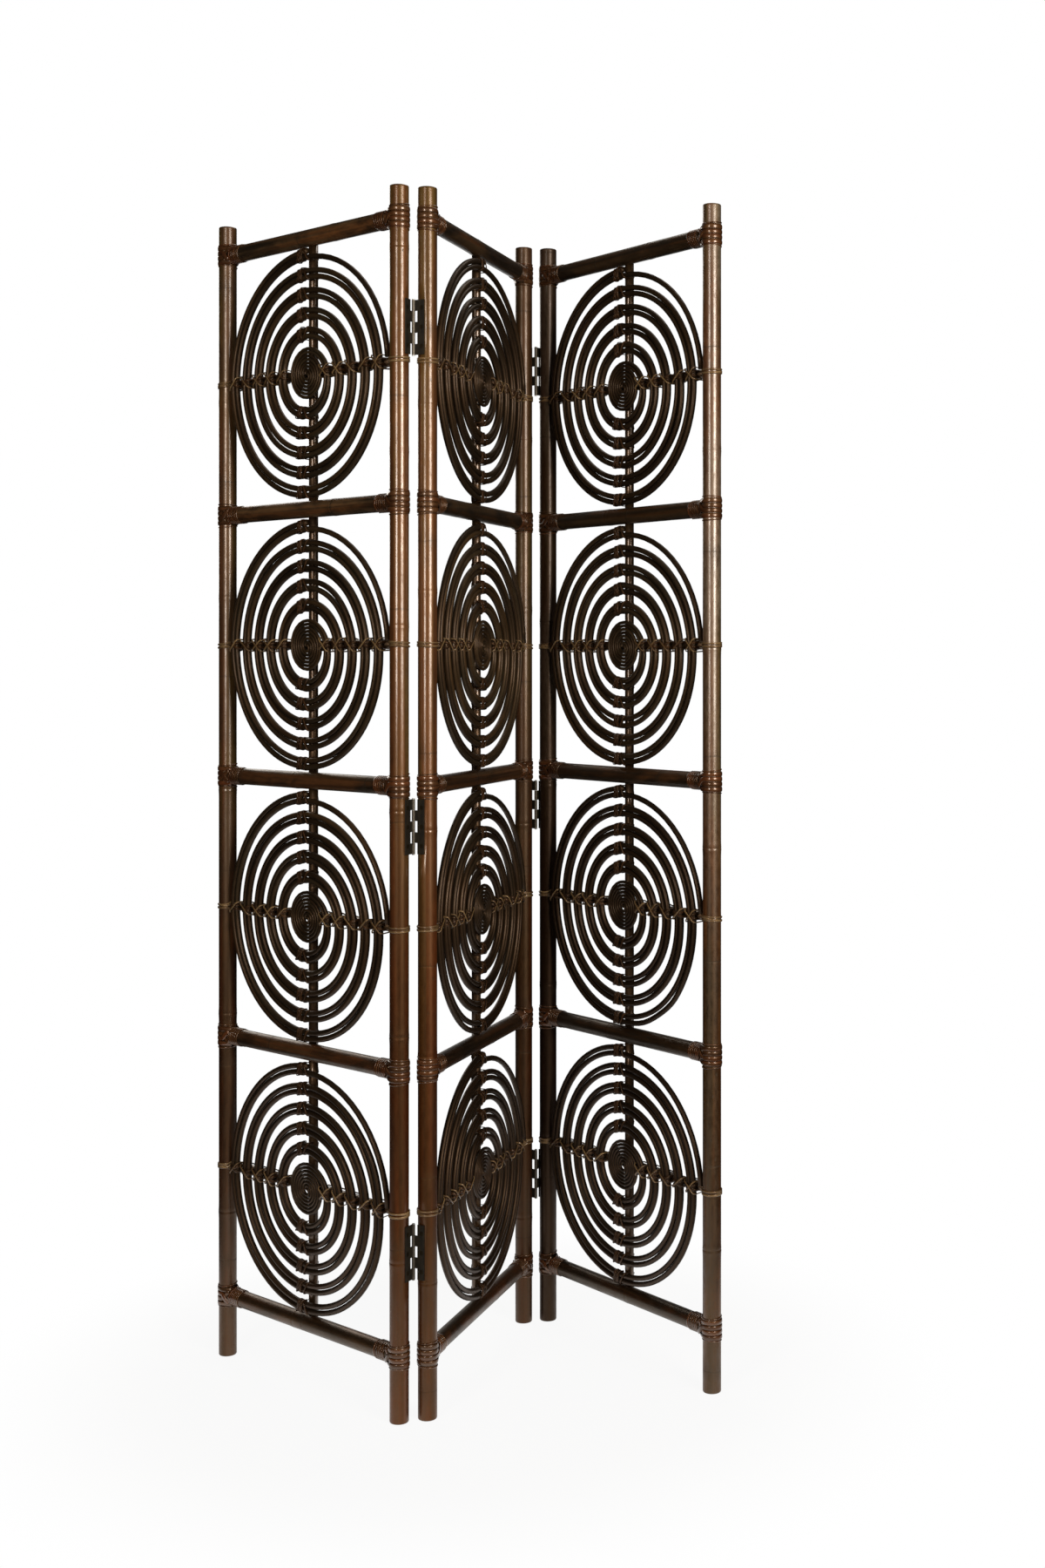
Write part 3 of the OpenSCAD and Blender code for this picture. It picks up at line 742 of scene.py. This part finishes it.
def grow_bar(bm, rings, sides, start, end_material=0):
    """A cane up the Z axis from its first ring to its last."""
    places = [Matrix.Translation(UP * at) for at, _ in rings]
    grow_cane(bm, places, [radius for _, radius in rings], 1.0, 1.0, sides, start + rings[0][0],
              end_material=end_material)


def hinge_seat_normal(side, folds_back, sizes):
    """Direction, in the panel's frame, in which a pole's hinge leaf faces."""
    reach = math.hypot(sizes.pin_reach, sizes.pin_inset)
    turn = (math.atan2(sizes.pin_inset, sizes.pin_reach)
            - math.acos((sizes.seat_radius + sizes.knuckle_radius) / reach))
    return Vector((-inward(side) * math.cos(turn), math.sin(turn) * (1 if folds_back else -1), 0))


def hinge_heights():
    """(lowest, highest) of each hinge leaf, from the frame."""
    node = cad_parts["left_seam_left_leaves"]
    levels = sorted({round(vert.co.z, 4) for vert in node.data.vertices})
    spans = [[levels[0], levels[0]]]
    for level in levels:
        if level - spans[-1][1] > 0.1:
            spans.append([level, level])
        spans[-1][1] = level
    return spans


class CANE_OT_poles(bpy.types.Operator):
    """Make the six poles, with knots, rounded ends and the flats under the hinges"""
    bl_idname = "cane_screen.poles"
    bl_label = "Poles"

    def execute(self, context):
        sizes = context.scene.cane_sizes
        sawn = end_finish()
        leaf_spans = hinge_heights()
        for number, (node, (panel, side, folds_back)) in enumerate(POLES.items()):
            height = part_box(node)[1].z
            radius, rounding = sizes.pole_radius, sizes.pole_end_round
            knots = knot_stations(0.02, height - 0.02, POLE_KNOTS, radius, sizes.knot_swell,
                                  11 + number)
            if folds_back is not None:
                # Rings close together at both ends of each flat
                for bottom, top in leaf_spans:
                    for level in (bottom - 0.0006, bottom - 0.0001, top + 0.0001, top + 0.0006):
                        knots = [k for k in knots if abs(k[0] - level) > 0.0002]
                        knots.append((level, radius))
                knots.sort()
            rounded = [(0.0, radius - rounding), (0.22 * rounding, radius - 0.42 * rounding),
                       (rounding, radius)]
            rings = with_plain_rings(knots, 2 * rounding, height - 2 * rounding, radius, BAR_GAP)
            rings = rounded + rings + [(height - z, r) for z, r in reversed(rounded)]
            bm = new_mesh()
            grow_bar(bm, rings, POLE_SIDES, 3.0 * number, 1)
            if folds_back is not None:
                facing = hinge_seat_normal(side, folds_back, sizes)
                for vert in bm.verts:
                    if any(bottom - 0.0002 < vert.co.z < top + 0.0002 for bottom, top in leaf_spans):
                        over = vert.co.dot(facing) - sizes.seat_radius
                        if over > 0:
                            vert.co -= facing * over
            bmesh.ops.transform(bm, matrix=in_panel(panel, pole_along(panel, side)), verts=bm.verts)
            make_piece(f"{node}_cane", bm, [pole_finish(context, node), sawn], panel, node,
                       flat_ends=True)
        return {"FINISHED"}


class CANE_OT_rails(bpy.types.Operator):
    """Make the fifteen rails, coped to the poles"""
    bl_idname = "cane_screen.rails"
    bl_label = "Rails"

    def execute(self, context):
        sizes = context.scene.cane_sizes
        finishes = rail_finishes(context)
        radius = sizes.rail_radius
        cope = sizes.pole_radius + 0.0001
        for number, panel in enumerate(PANELS):
            width = panel_width(panel)
            for row, name in enumerate(RAIL_ROWS):
                seed = 100 + 10 * number + row
                first, last = cope + 0.0015, width - cope - 0.0015
                knots = knot_stations(first + 0.05, last - 0.05, RAIL_KNOTS, radius,
                                      0.8 * sizes.knot_swell, seed)
                rings = with_plain_rings(knots, first, last, radius, BAR_GAP)
                rings = [(cope, radius)] + rings + [(width - cope, radius)]
                bm = new_mesh()
                grow_bar(bm, rings, RAIL_SIDES, 40 + 0.7 * seed)
                # Both ends follow the round of the poles
                for vert in bm.verts:
                    depth = math.sqrt(cope ** 2 - min(cope, abs(vert.co.y)) ** 2)
                    if vert.co.z < cope + 0.0002:
                        vert.co.z = depth
                    elif vert.co.z > width - cope - 0.0002:
                        vert.co.z = width - depth
                bmesh.ops.transform(bm, matrix=in_panel(panel, up=rail_height(row)) @ LAID_ALONG,
                                    verts=bm.verts)
                node = f"{panel}_{name}_rail"
                make_piece(f"{node}_cane", bm, [finishes[RAIL_TONES[number][row]]], panel, node)
        return {"FINISHED"}


# Medallions

COIL_TONES = ((1, 1, 0, 0), (0, 0, 1, 2), (2, 2, 0, 2))
# Turns inside the disc's edge where the outer (1) and inner (-1) strands begin
STRAND_STARTS = {1: -80 / 24, -1: -72 / 24}
# Points a turn in the disc, in the first open turn and in the others
DISC_STEPS, FIRST_STEPS, OPEN_STEPS = 24, 48, 84


def strand_path(context, side):
    """Points, outward directions and sizes of one strand from the middle out. side
    is 1 for the outer strand and -1 for the inner one."""
    sizes = context.scene.medallion_sizes
    half_pair = sizes.strand_radius + sizes.strand_gap / 2
    fine = sizes.fine_strand / sizes.strand_radius
    disc_edge = sizes.disc_radius + half_pair + sizes.strand_radius
    pitch = (coil_half_height() - disc_edge) / sizes.open_turns

    def edge(turn):
        return disc_edge + turn * (pitch if turn >= 0 else 4 * half_pair * fine)

    points, outs, swells = [], [], []
    turn = STRAND_STARTS[side]
    while turn < sizes.open_turns + 1e-6:
        whole = min(math.floor(turn + 1e-6), sizes.open_turns - 1)
        angle = math.radians(90 - 360 * (turn - whole))
        out = heading(angle, UP)
        swell = fine + (1 - fine) * eased(turn / 0.5)
        if turn - whole < 0.5:
            middle, reach = (edge(whole) - edge(whole + 1)) / 2, (edge(whole) + edge(whole + 1)) / 2
        else:
            middle, reach = 0.0, edge(whole + 1)
        reach -= swell * (sizes.strand_radius if side > 0 else sizes.strand_radius + 2 * half_pair)
        points.append(UP * middle + out * reach)
        outs.append(out)
        swells.append(swell)
        turn += 1 / (DISC_STEPS if turn < -1e-6 else FIRST_STEPS if turn < 1 - 1e-6
                     else OPEN_STEPS)
    return points, outs, swells


def last_stretch(context, points, outs, swells):
    """Runs the inner strand on down beside the right pole, to the cord there."""
    sizes = context.scene.medallion_sizes
    top = points[-1].z
    chord = math.sqrt(context.scene.cane_sizes.pole_radius ** 2 - sizes.forward ** 2)
    reach = panel_width("left") - coil_along() - chord - sizes.strand_radius - 0.0004
    end = 1.5 * context.scene.winding_sizes.cord_width + 0.001
    last = math.asin((end - top + reach) / reach)
    for k in range(1, 16):
        angle = math.pi / 2 + (last - math.pi / 2) * k / 15
        out = heading(angle, UP)
        points.append(UP * (top - reach) + out * reach)
        outs.append(out)
        swells.append(1.0)


def coil_shape(context):
    """The two strands of a medallion round the origin, in the plane Y = 0."""
    width = 2 * context.scene.medallion_sizes.strand_radius
    bm = new_mesh()
    for side, start in ((1, 0.0), (-1, 10.0)):
        points, outs, swells = strand_path(context, side)
        if side < 0:
            last_stretch(context, points, outs, swells)
        lay_cane(bm, points, outs, width, width, STRAND_SIDES, start, swells=swells)
    return shape_of(bm, "medallion")


def stray(bm, amount, seed):
    """Lets each strand stray a little outside the disc, and opens the pair here and
    there."""
    layer = bm.verts.layers.float_vector["cane"]
    rng = random.Random(seed)
    still, free = 0.036, 0.056
    openings = [(rng.uniform(1.2, 3.8), rng.uniform(0.03, 0.06), rng.uniform(0.0012, 0.0022))
                for _ in range(3)]
    for vert in bm.verts:
        along, _, _ = vert[layer]
        outer = along < 8
        here = along if outer else along - 10
        near = Vector((vert.co.x, 0, vert.co.z))
        out = near.normalized()
        far = min(1.0, max(0.0, (near.length - still) / (free - still)))
        sway = noise.noise(Vector((here * 5.0, seed * 3.1, 0 if outer else 7.7)))
        sway = abs(sway) * (1 if outer else -1)
        if outer:
            sway += sum(size * math.exp(-((here - at) / width) ** 2)
                        for at, width, size in openings) / amount
        lift = noise.noise(Vector((here * 4.0, seed * 5.3, 3.3 if outer else 9.1)))
        vert.co += out * (amount * sway * far) - BACK * (0.5 * amount * abs(lift) * far)


class CANE_OT_medallions(bpy.types.Operator):
    """Make the twelve medallions, each coiled from two strands"""
    bl_idname = "cane_screen.medallions"
    bl_label = "Medallions"

    def execute(self, context):
        sizes = context.scene.medallion_sizes
        finishes = coil_finishes(context)
        shape = coil_shape(context)
        for number, panel in enumerate(PANELS):
            for row in CELLS:
                bm = new_mesh()
                bm.from_mesh(shape)
                seed = len(CELLS) * number + row
                stray(bm, sizes.stray, seed)
                move_grain(bm, bm.verts, 23.0 * seed)
                spot = in_panel(panel, coil_along(), -sizes.forward, cell_height(row))
                bmesh.ops.transform(bm, matrix=spot, verts=bm.verts)
                node = f"{panel}_coil_{row + 1}"
                make_piece(f"{node}_cane", bm, [finishes[COIL_TONES[number][row]]], panel, node)
        forget([shape])
        return {"FINISHED"}


class CANE_OT_sticks(bpy.types.Operator):
    """Make the upright and cross sticks behind the medallions"""
    bl_idname = "cane_screen.sticks"
    bl_label = "Sticks"

    def execute(self, context):
        sizes = context.scene.medallion_sizes
        radius = sizes.stick_radius
        behind = sizes.strand_radius + radius - sizes.forward
        finish = stick_finish(context)
        for number, panel in enumerate(PANELS):
            upright, cross = new_mesh(), new_mesh()
            for row in CELLS:
                seed = 300 + 10 * number + row
                foot = rail_height(row)
                for bm, reach, place in (
                        (upright, rail_height(row + 1) - foot,
                         in_panel(panel, coil_along(), behind, foot)),
                        (cross, panel_width(panel),
                         in_panel(panel, 0.0, behind, cell_height(row)) @ LAID_ALONG)):
                    seed += 7
                    knots = knot_stations(0.03, reach - 0.03, STICK_KNOTS, radius, 0.0004, seed)
                    rings = with_plain_rings(knots, 0.003, reach - 0.003, radius, STICK_GAP)
                    stick = new_mesh()
                    grow_bar(stick, rings, STICK_SIDES, 9.0 * seed)
                    bmesh.ops.transform(stick, matrix=place, verts=stick.verts)
                    add_shape(bm, stick)
            for bm, kind in ((upright, "upright"), (cross, "cross")):
                make_piece(f"{panel}_{kind}_stick_canes", bm, [finish], panel,
                           f"{panel}_{kind}_sticks")
        return {"FINISHED"}


# Windings, cords and lashings

RAIL_TURNS = 6
TURN_STEPS = 18     # points of each turn round a rail
# Ties round the strand pair alone: (lean, lift, width, distance from the upright stick)
TIES = ((0.06, 0.0, 0.0042, 0.0098), (-0.10, 0.0, 0.0042, 0.0138), (0.05, 0.0, 0.0042, 0.0178),
        (0.62, 0.0010, 0.0020, 0.0140))
# Crossed lashings round the pair and the cross stick: (lean, lift, width, finish)
CROSSES = ((0.42, 0.0, 0.0052, 0), (-0.42, 0.0, 0.0052, 0), (0.74, 0.0010, 0.0028, 1),
           (-0.74, 0.0019, 0.0028, 1))


def bead_path(level, tuck, bulge, radius, rail_radius):
    """A turn of peel round the outer side of a left pole, its two ends crossing
    over the joint to be tucked in on the rail at the angle tuck."""
    arc = 104
    angle = math.radians(arc)
    slope = math.radians(tuck)
    ends = []
    for side in (-1, 1):
        run = []
        start = heading(math.pi - side * angle) * radius + UP * level
        end = Vector((radius + 0.0035, side * rail_radius * math.cos(slope),
                      rail_radius * math.sin(slope)))
        for k in range(7):
            share = k / 6
            spot = start.lerp(end, share)
            spot.z = level + (end.z - level) * eased(share)
            spot.y += side * math.sin(math.pi * share) * bulge
            out = Vector((0.25 * spot.x + 0.002, spot.y, 0.35 * spot.z)).normalized()
            run.append((spot, out))
        ends.append(run)
    turn = []
    for k in range(1, 14):
        angle = math.radians(-arc + 2 * arc * k / 14)
        out = heading(math.pi - angle)
        turn.append((out * radius + UP * level, out))
    return list(zip(*(ends[0][::-1] + turn + ends[1])))


def joint_shape(context, seed):
    """The peel windings of one rail joint, for a left pole at the origin."""
    sizes = context.scene.winding_sizes
    canes = context.scene.cane_sizes
    rng = random.Random(seed)
    bm = new_mesh()
    pole_r = canes.pole_radius + sizes.bead_proud / 2 - 0.0001
    for k, (tuck, bulge) in enumerate(((-58, 0.0004), (36, 0.0), (-34, 0.0016), (60, 0.0006))):
        points, outs = bead_path((k - 1.5) * sizes.bead_width, tuck, bulge, pole_r,
                                 canes.rail_radius + 0.0008)
        lay_cane(bm, points, outs, sizes.bead_width * 0.97, sizes.bead_proud * 1.02, 10,
                 rng.uniform(0, 5))
    # Thin turns round the rail, a little slanted
    wrap_r = canes.rail_radius + sizes.wrap_proud / 2 - 0.0001
    first = canes.pole_radius + sizes.bead_proud + 0.0003
    points, outs = [], []
    for k in range(RAIL_TURNS * TURN_STEPS + 1):
        share = k / TURN_STEPS
        angle = 2 * math.pi * share + math.pi / 2
        along = first + (share + 0.25) * sizes.wrap_width * 0.96 + 0.0012 * math.sin(angle)
        along += 0.0004 * noise.noise(Vector((share * 3, seed, 0)))
        outs.append(UP * math.sin(angle) - BACK * math.cos(angle))
        points.append(outs[-1] * wrap_r + ALONG * along)
    lay_cane(bm, points, outs, sizes.wrap_width * 0.88, sizes.wrap_proud * 1.02, 8,
             rng.uniform(0, 5))
    # A thin turn leans across above the beads, another below
    for level, lean, width in ((2.25, 0.10, 0.0022), (-2.2, -0.07, 0.0018)):
        outs = [heading(math.radians(15 * k)) for k in range(24)]
        points = [out * (canes.pole_radius + 0.0006)
                  + UP * (level * sizes.bead_width + lean * out.y * pole_r) for out in outs]
        lay_cane(bm, points, outs, width, 0.0013, 6, rng.uniform(0, 5), loop=True)
    return shape_of(bm, "joint")


class CANE_OT_windings(bpy.types.Operator):
    """Wind peel round every rail joint"""
    bl_idname = "cane_screen.windings"
    bl_label = "Joint windings"

    def execute(self, context):
        finish = winding_finish(context)
        shapes = [joint_shape(context, seed) for seed in (3, 8)]
        for number, panel in enumerate(PANELS):
            bm = new_mesh()
            for row in range(len(RAIL_ROWS)):
                for side in SIDES:
                    turned = Matrix.Scale(inward(side), 4, ALONG)
                    spot = in_panel(panel, pole_along(panel, side), 0.0, rail_height(row))
                    tip = Matrix.Rotation(math.pi * ((row + number) % 2), 4, "X")
                    add_copy(bm, shapes[(row + (side == "left")) % 2], spot @ turned @ tip,
                             7.0 * row + (3.3 if side == "left" else 0))
            make_piece(f"{panel}_joint_windings", bm, [finish], panel, f"{panel}_rail_bindings")
        forget(shapes)
        return {"FINISHED"}


def cord_shape(context, seed):
    """Thin crossing turns round a left pole at the origin, parted by the stick."""
    sizes = context.scene.winding_sizes
    canes = context.scene.cane_sizes
    stick_r = context.scene.medallion_sizes.stick_radius
    stick_at = math.radians(18)
    rng = random.Random(seed)
    bm = new_mesh()
    reach = canes.pole_radius + sizes.cord_proud / 2
    for level, lean, part in ((-1, 0.05, -1), (0, -0.13, 1), (1, 0.06, 1), (-0.2, 0.16, -1)):
        points, outs = [], []
        for k in range(28):
            angle = 2 * math.pi * k / 28
            outs.append(heading(angle))
            gap = math.atan2(math.sin(angle - stick_at), math.cos(angle - stick_at))
            near = eased(1 - abs(gap) / 1.15)
            rise = part * (stick_r + 0.0012 + 0.0004 * abs(level)) * near
            flat = level * sizes.cord_width * 0.9 * (1 - near)
            tilt = lean * reach * math.sin(angle + 0.5 * seed) * (1 - near)
            points.append(outs[-1] * reach + UP * (flat + rise + tilt))
        lay_cane(bm, points, outs, sizes.cord_width * 0.85, sizes.cord_proud, 7,
                 rng.uniform(0, 9), loop=True, material=1)
    return shape_of(bm, "cord")


def loop_shape(context, lean, lift=0.0, width=None, material=0, turned=False, round_stick=True):
    """One lashing round a strand pair, and round the stick behind it where
    round_stick. The pair runs along X, or along Z where turned. lean is the
    lashing's angle from a straight one, and lift its height over the strands."""
    sizes = context.scene.winding_sizes
    coils = context.scene.medallion_sizes
    thick = sizes.strap_thickness / 2 + lift
    wide = (2 * coils.strand_radius + coils.strand_gap / 2) / math.cos(lean) + thick
    near = -coils.forward - coils.strand_radius - thick
    far = -coils.forward + coils.strand_radius + thick
    half = [(0.0, near), (wide - 0.0035, near), (wide - 0.0008, near + 0.0016),
            (wide, -coils.forward)]
    if round_stick:
        back = far + 2 * coils.stick_radius
        narrow = min(coils.stick_radius / abs(math.sin(lean)) + thick, wide)
        half += [((wide + narrow) / 2, far), (narrow, back - coils.stick_radius),
                 (0.72 * narrow, back - 0.0018), (0.0, back)]
    else:
        half += [(wide - 0.0008, far - 0.0016), (wide - 0.0035, far), (0.0, far)]
    corners = half + [(-across, depth) for across, depth in half[-2:0:-1]]
    run = heading(lean if turned else math.pi / 2 - lean, UP)
    middle = (half[0][1] + half[-1][1]) / 2
    points, outs = [], []
    for k, (across, depth) in enumerate(corners):
        before, after = corners[k - 1], corners[(k + 1) % len(corners)]
        out = run * (after[1] - before[1]) - BACK * (after[0] - before[0])
        if out.dot(run * across + BACK * (depth - middle)) < 0:
            out = -out
        points.append(run * across + BACK * depth)
        outs.append(out.normalized())
    bm = new_mesh()
    lay_cane(bm, points, outs, width or sizes.strap_width, sizes.strap_thickness, 6, loop=True,
             material=material)
    return shape_of(bm, "lashing")


def cell_shape(context, seed):
    """The lashings of one medallion, round its middle, and its sticks' cords."""
    coils = context.scene.medallion_sizes
    half_pair = coils.strand_radius + coils.strand_gap / 2
    coil_r = coil_half_height() - half_pair - coils.strand_radius
    pitch = (coil_r - coils.disc_radius) / coils.open_turns
    rng = random.Random(seed)
    ties = [loop_shape(context, *facts, round_stick=False) for *facts, _ in TIES]
    hooks = [loop_shape(context, lean) for lean in (0.5, -0.5)]
    crosses = [loop_shape(context, *facts, turned=True) for facts in CROSSES]
    bm = new_mesh()
    for turn in range(1, coils.open_turns + 1):
        radius = coils.disc_radius + turn * pitch
        for up in (1, -1):
            spot = Matrix.Translation(UP * radius * up)
            add_copy(bm, hooks[rng.randrange(2)], spot, rng.uniform(0, 9))
            for tie, (*_, away) in zip(ties, TIES):
                away += rng.uniform(-0.0006, 0.0006)
                aside = Matrix.Rotation(-up * away / radius, 4, "Y")
                add_copy(bm, tie, aside @ spot, rng.uniform(0, 9))
        right = math.sqrt((radius - pitch / 2) ** 2 - (pitch / 2) ** 2)
        for along in (-radius, right):
            for k, shape in enumerate(crosses):
                if k == 2 + (turn + (along > 0)) % 4:
                    continue
                sway = Matrix.Rotation(rng.uniform(-0.08, 0.08), 4, "Y")
                add_copy(bm, shape, Matrix.Translation(ALONG * along) @ sway, rng.uniform(0, 9))
    for side in SIDES:
        cord = cord_shape(context, rng.randrange(9))
        along = pole_along("left", side) - coil_along()
        add_copy(bm, cord, Matrix.Translation(ALONG * along)
                 @ Matrix.Scale(inward(side), 4, ALONG), rng.uniform(0, 9))
        forget([cord])
    forget(ties + hooks + crosses)
    return shape_of(bm, "cell")


class CANE_OT_lashings(bpy.types.Operator):
    """Lash the medallions to their sticks and bind the stick ends to the poles"""
    bl_idname = "cane_screen.lashings"
    bl_label = "Lashings and cords"

    def execute(self, context):
        finishes = lashing_finishes(context)
        cells = [cell_shape(context, seed) for seed in (1, 2, 3)]
        for number, panel in enumerate(PANELS):
            bm = new_mesh()
            for row in CELLS:
                add_copy(bm, cells[(2 * number + row) % 3],
                         in_panel(panel, coil_along(), 0.0, cell_height(row)), 3.7 * row)
            make_piece(f"{panel}_lashing_straps", bm, finishes, panel, f"{panel}_lashings")
        forget(cells)
        return {"FINISHED"}


class CANE_OT_hinges(bpy.types.Operator):
    """Give the hinges, screws, pins and nails their aged metal"""
    bl_idname = "cane_screen.hinges"
    bl_label = "Hinges and nails"

    def execute(self, context):
        bronze, screw, steel = metal_finishes(context)
        for seam in ("left_seam", "right_seam"):
            for side in SIDES:
                dress_node(f"{seam}_{side}_leaves", bronze)
                dress_node(f"{seam}_{side}_screws", screw)
            dress_node(f"{seam}_pins", steel)
        for panel in PANELS:
            dress_node(f"{panel}_rail_nails", steel)
        return {"FINISHED"}


# Floor, lights and camera

# (name, place, target, width, height, share of the power)
SOFTBOXES = (
    ("left softbox", (-1.15, -2.50, 1.68), (-0.05, -0.1, 1.68), 0.50, 1.40, 0.85),
    ("right softbox", (1.75, -2.25, 1.68), (0.0, -0.1, 1.68), 1.05, 1.40, 1.85),
    ("top light", (0.3, 0.9, 3.3), (0.0, 0.0, 0.9), 1.6, 1.2, 0.35),
    ("back light", (-1.4, 2.6, 2.0), (0.0, 0.0, 1.0), 1.2, 1.6, 0.4),
)


def mixed_shaders(share, first, second):
    return made("ShaderNodeMixShader", {0: share, 1: first, 2: second})


def ray_shares(tree):
    """Shares of the camera's rays, and of mirror rays and clear ones."""
    camera, glossy, clear = (made("ShaderNodeLightPath", {}, f"Is {kind} Ray", tree)
                             for kind in ("Camera", "Glossy", "Transmission"))
    return camera, larger(glossy, clear)


def floor_finish():
    """A white floor that fades into the white room and keeps the screen's shadow."""
    finish = bpy.data.materials.new("Pale floor")
    tree = cleared_tree(finish)
    plain = made("ShaderNodeBsdfDiffuse", {0: (0.65, 0.65, 0.65, 1)}, tree=tree)
    white = made("ShaderNodeEmission", {0: (1, 1, 1, 1), 1: 1.0}, tree=tree)
    away = made("ShaderNodeVectorMath", {0: object_place(tree)}, "Value", operation="LENGTH")
    seen = mixed_shaders(ranged(away, 0.40, 0.80, 0.92, 1.0), plain, white)
    camera, mirror = ray_shares(tree)
    feed(tree.nodes.new("ShaderNodeOutputMaterial"),
         {0: mixed_shaders(larger(camera, mirror), plain, seen)})
    return finish


def room_world(strength):
    """White for the camera. Mirror rays see it white behind the screen and dim where
    a camera would stand, and it lights the screen softly."""
    world = bpy.data.worlds.new("Pale room")
    tree = cleared_tree(world)
    behind = axis_of(made("ShaderNodeTexCoord", {}, "Generated", tree), 1)
    soft, mirrored, white = (
        made("ShaderNodeBackground", {0: tint, 1: level}, tree=tree)
        for tint, level in (((1, 0.98, 0.95, 1), strength),
                            ((1, 0.98, 0.95, 1), ranged(behind, 0.95, 0.995, 0.01, 1.0)),
                            ((1, 1, 1, 1), 1.0)))
    camera, mirror = ray_shares(tree)
    feed(tree.nodes.new("ShaderNodeOutputWorld"),
         {0: mixed_shaders(camera, mixed_shaders(mirror, soft, mirrored), white)})
    return world


def add_softbox(name, spot, target, width, height, power):
    light = bpy.data.lights.new(name, "AREA")
    light.color = (1.0, 0.95, 0.88)
    light.shape = "RECTANGLE"
    light.size = width
    light.size_y = height
    light.energy = power
    holder = bpy.data.objects.new(name, light)
    holder.location = spot
    holder.rotation_mode = "QUATERNION"
    holder.rotation_quaternion = (Vector(target) - Vector(spot)).to_track_quat("-Z", "Y")
    bpy.context.scene.collection.objects.link(holder)


class CANE_OT_stage(bpy.types.Operator):
    """Make the pale floor, the soft lights and the camera"""
    bl_idname = "cane_screen.stage"
    bl_label = "Floor, lights and camera"

    def execute(self, context):
        scene = context.scene
        stage = scene.stage_settings
        bm = bmesh.new()
        bmesh.ops.create_circle(bm, cap_ends=True, segments=64, radius=stage.floor_radius)
        mesh = bpy.data.meshes.new("floor")
        bm.to_mesh(mesh)
        bm.free()
        floor = bpy.data.objects.new("floor", mesh)
        mesh.materials.append(floor_finish())
        scene.collection.objects.link(floor)
        for name, spot, target, width, height, share in SOFTBOXES:
            add_softbox(name, spot, target, width, height, share * stage.softbox_power)
        scene.world = room_world(stage.room_light)
        lens = bpy.data.cameras.new("camera")
        lens.lens = stage.lens
        lens.shift_x = stage.shift_across
        lens.shift_y = stage.shift_up
        camera = bpy.data.objects.new("camera", lens)
        camera.location = stage.camera_place
        camera.rotation_euler = (math.pi / 2, 0, -stage.camera_turn)
        scene.collection.objects.link(camera)
        scene.camera = camera
        scene.view_settings.view_transform = "Standard"
        return {"FINISHED"}


class CANE_PT_screen(bpy.types.Panel):
    """Lists the steps that dress the screen"""
    bl_label = "Cane Screen"
    bl_idname = "CANE_PT_screen"
    bl_space_type = "VIEW_3D"
    bl_region_type = "UI"
    bl_category = "Cane Screen"

    def draw(self, context):
        for operator in OPERATORS:
            self.layout.operator(operator.bl_idname)
        for group in ("cane_sizes", "medallion_sizes", "winding_sizes", "screen_colours",
                      "stage_settings"):
            settings = getattr(context.scene, group)
            box = self.layout.box()
            for key in settings.bl_rna.properties.keys():
                if key not in ("rna_type", "name"):
                    box.prop(settings, key)


OPERATORS = (CANE_OT_stage, CANE_OT_poles, CANE_OT_rails, CANE_OT_medallions, CANE_OT_sticks,
             CANE_OT_windings, CANE_OT_lashings, CANE_OT_hinges)
GROUPS = {
    "cane_sizes": CaneSizes,
    "medallion_sizes": MedallionSizes,
    "winding_sizes": WindingSizes,
    "screen_colours": ScreenColours,
    "stage_settings": StageSettings,
}


def register():
    for kind in (*GROUPS.values(), *OPERATORS, CANE_PT_screen):
        bpy.utils.register_class(kind)
    for key, kind in GROUPS.items():
        setattr(bpy.types.Scene, key, PointerProperty(type=kind))


def unregister():
    for key in GROUPS:
        delattr(bpy.types.Scene, key)
    for kind in reversed((*GROUPS.values(), *OPERATORS, CANE_PT_screen)):
        bpy.utils.unregister_class(kind)


def main():
    register()
    bpy.ops.cane_screen.stage()
    bpy.ops.cane_screen.poles()
    bpy.ops.cane_screen.rails()
    bpy.ops.cane_screen.medallions()
    bpy.ops.cane_screen.sticks()
    bpy.ops.cane_screen.windings()
    bpy.ops.cane_screen.lashings()
    bpy.ops.cane_screen.hinges()


if __name__ == "__main__":
    main()
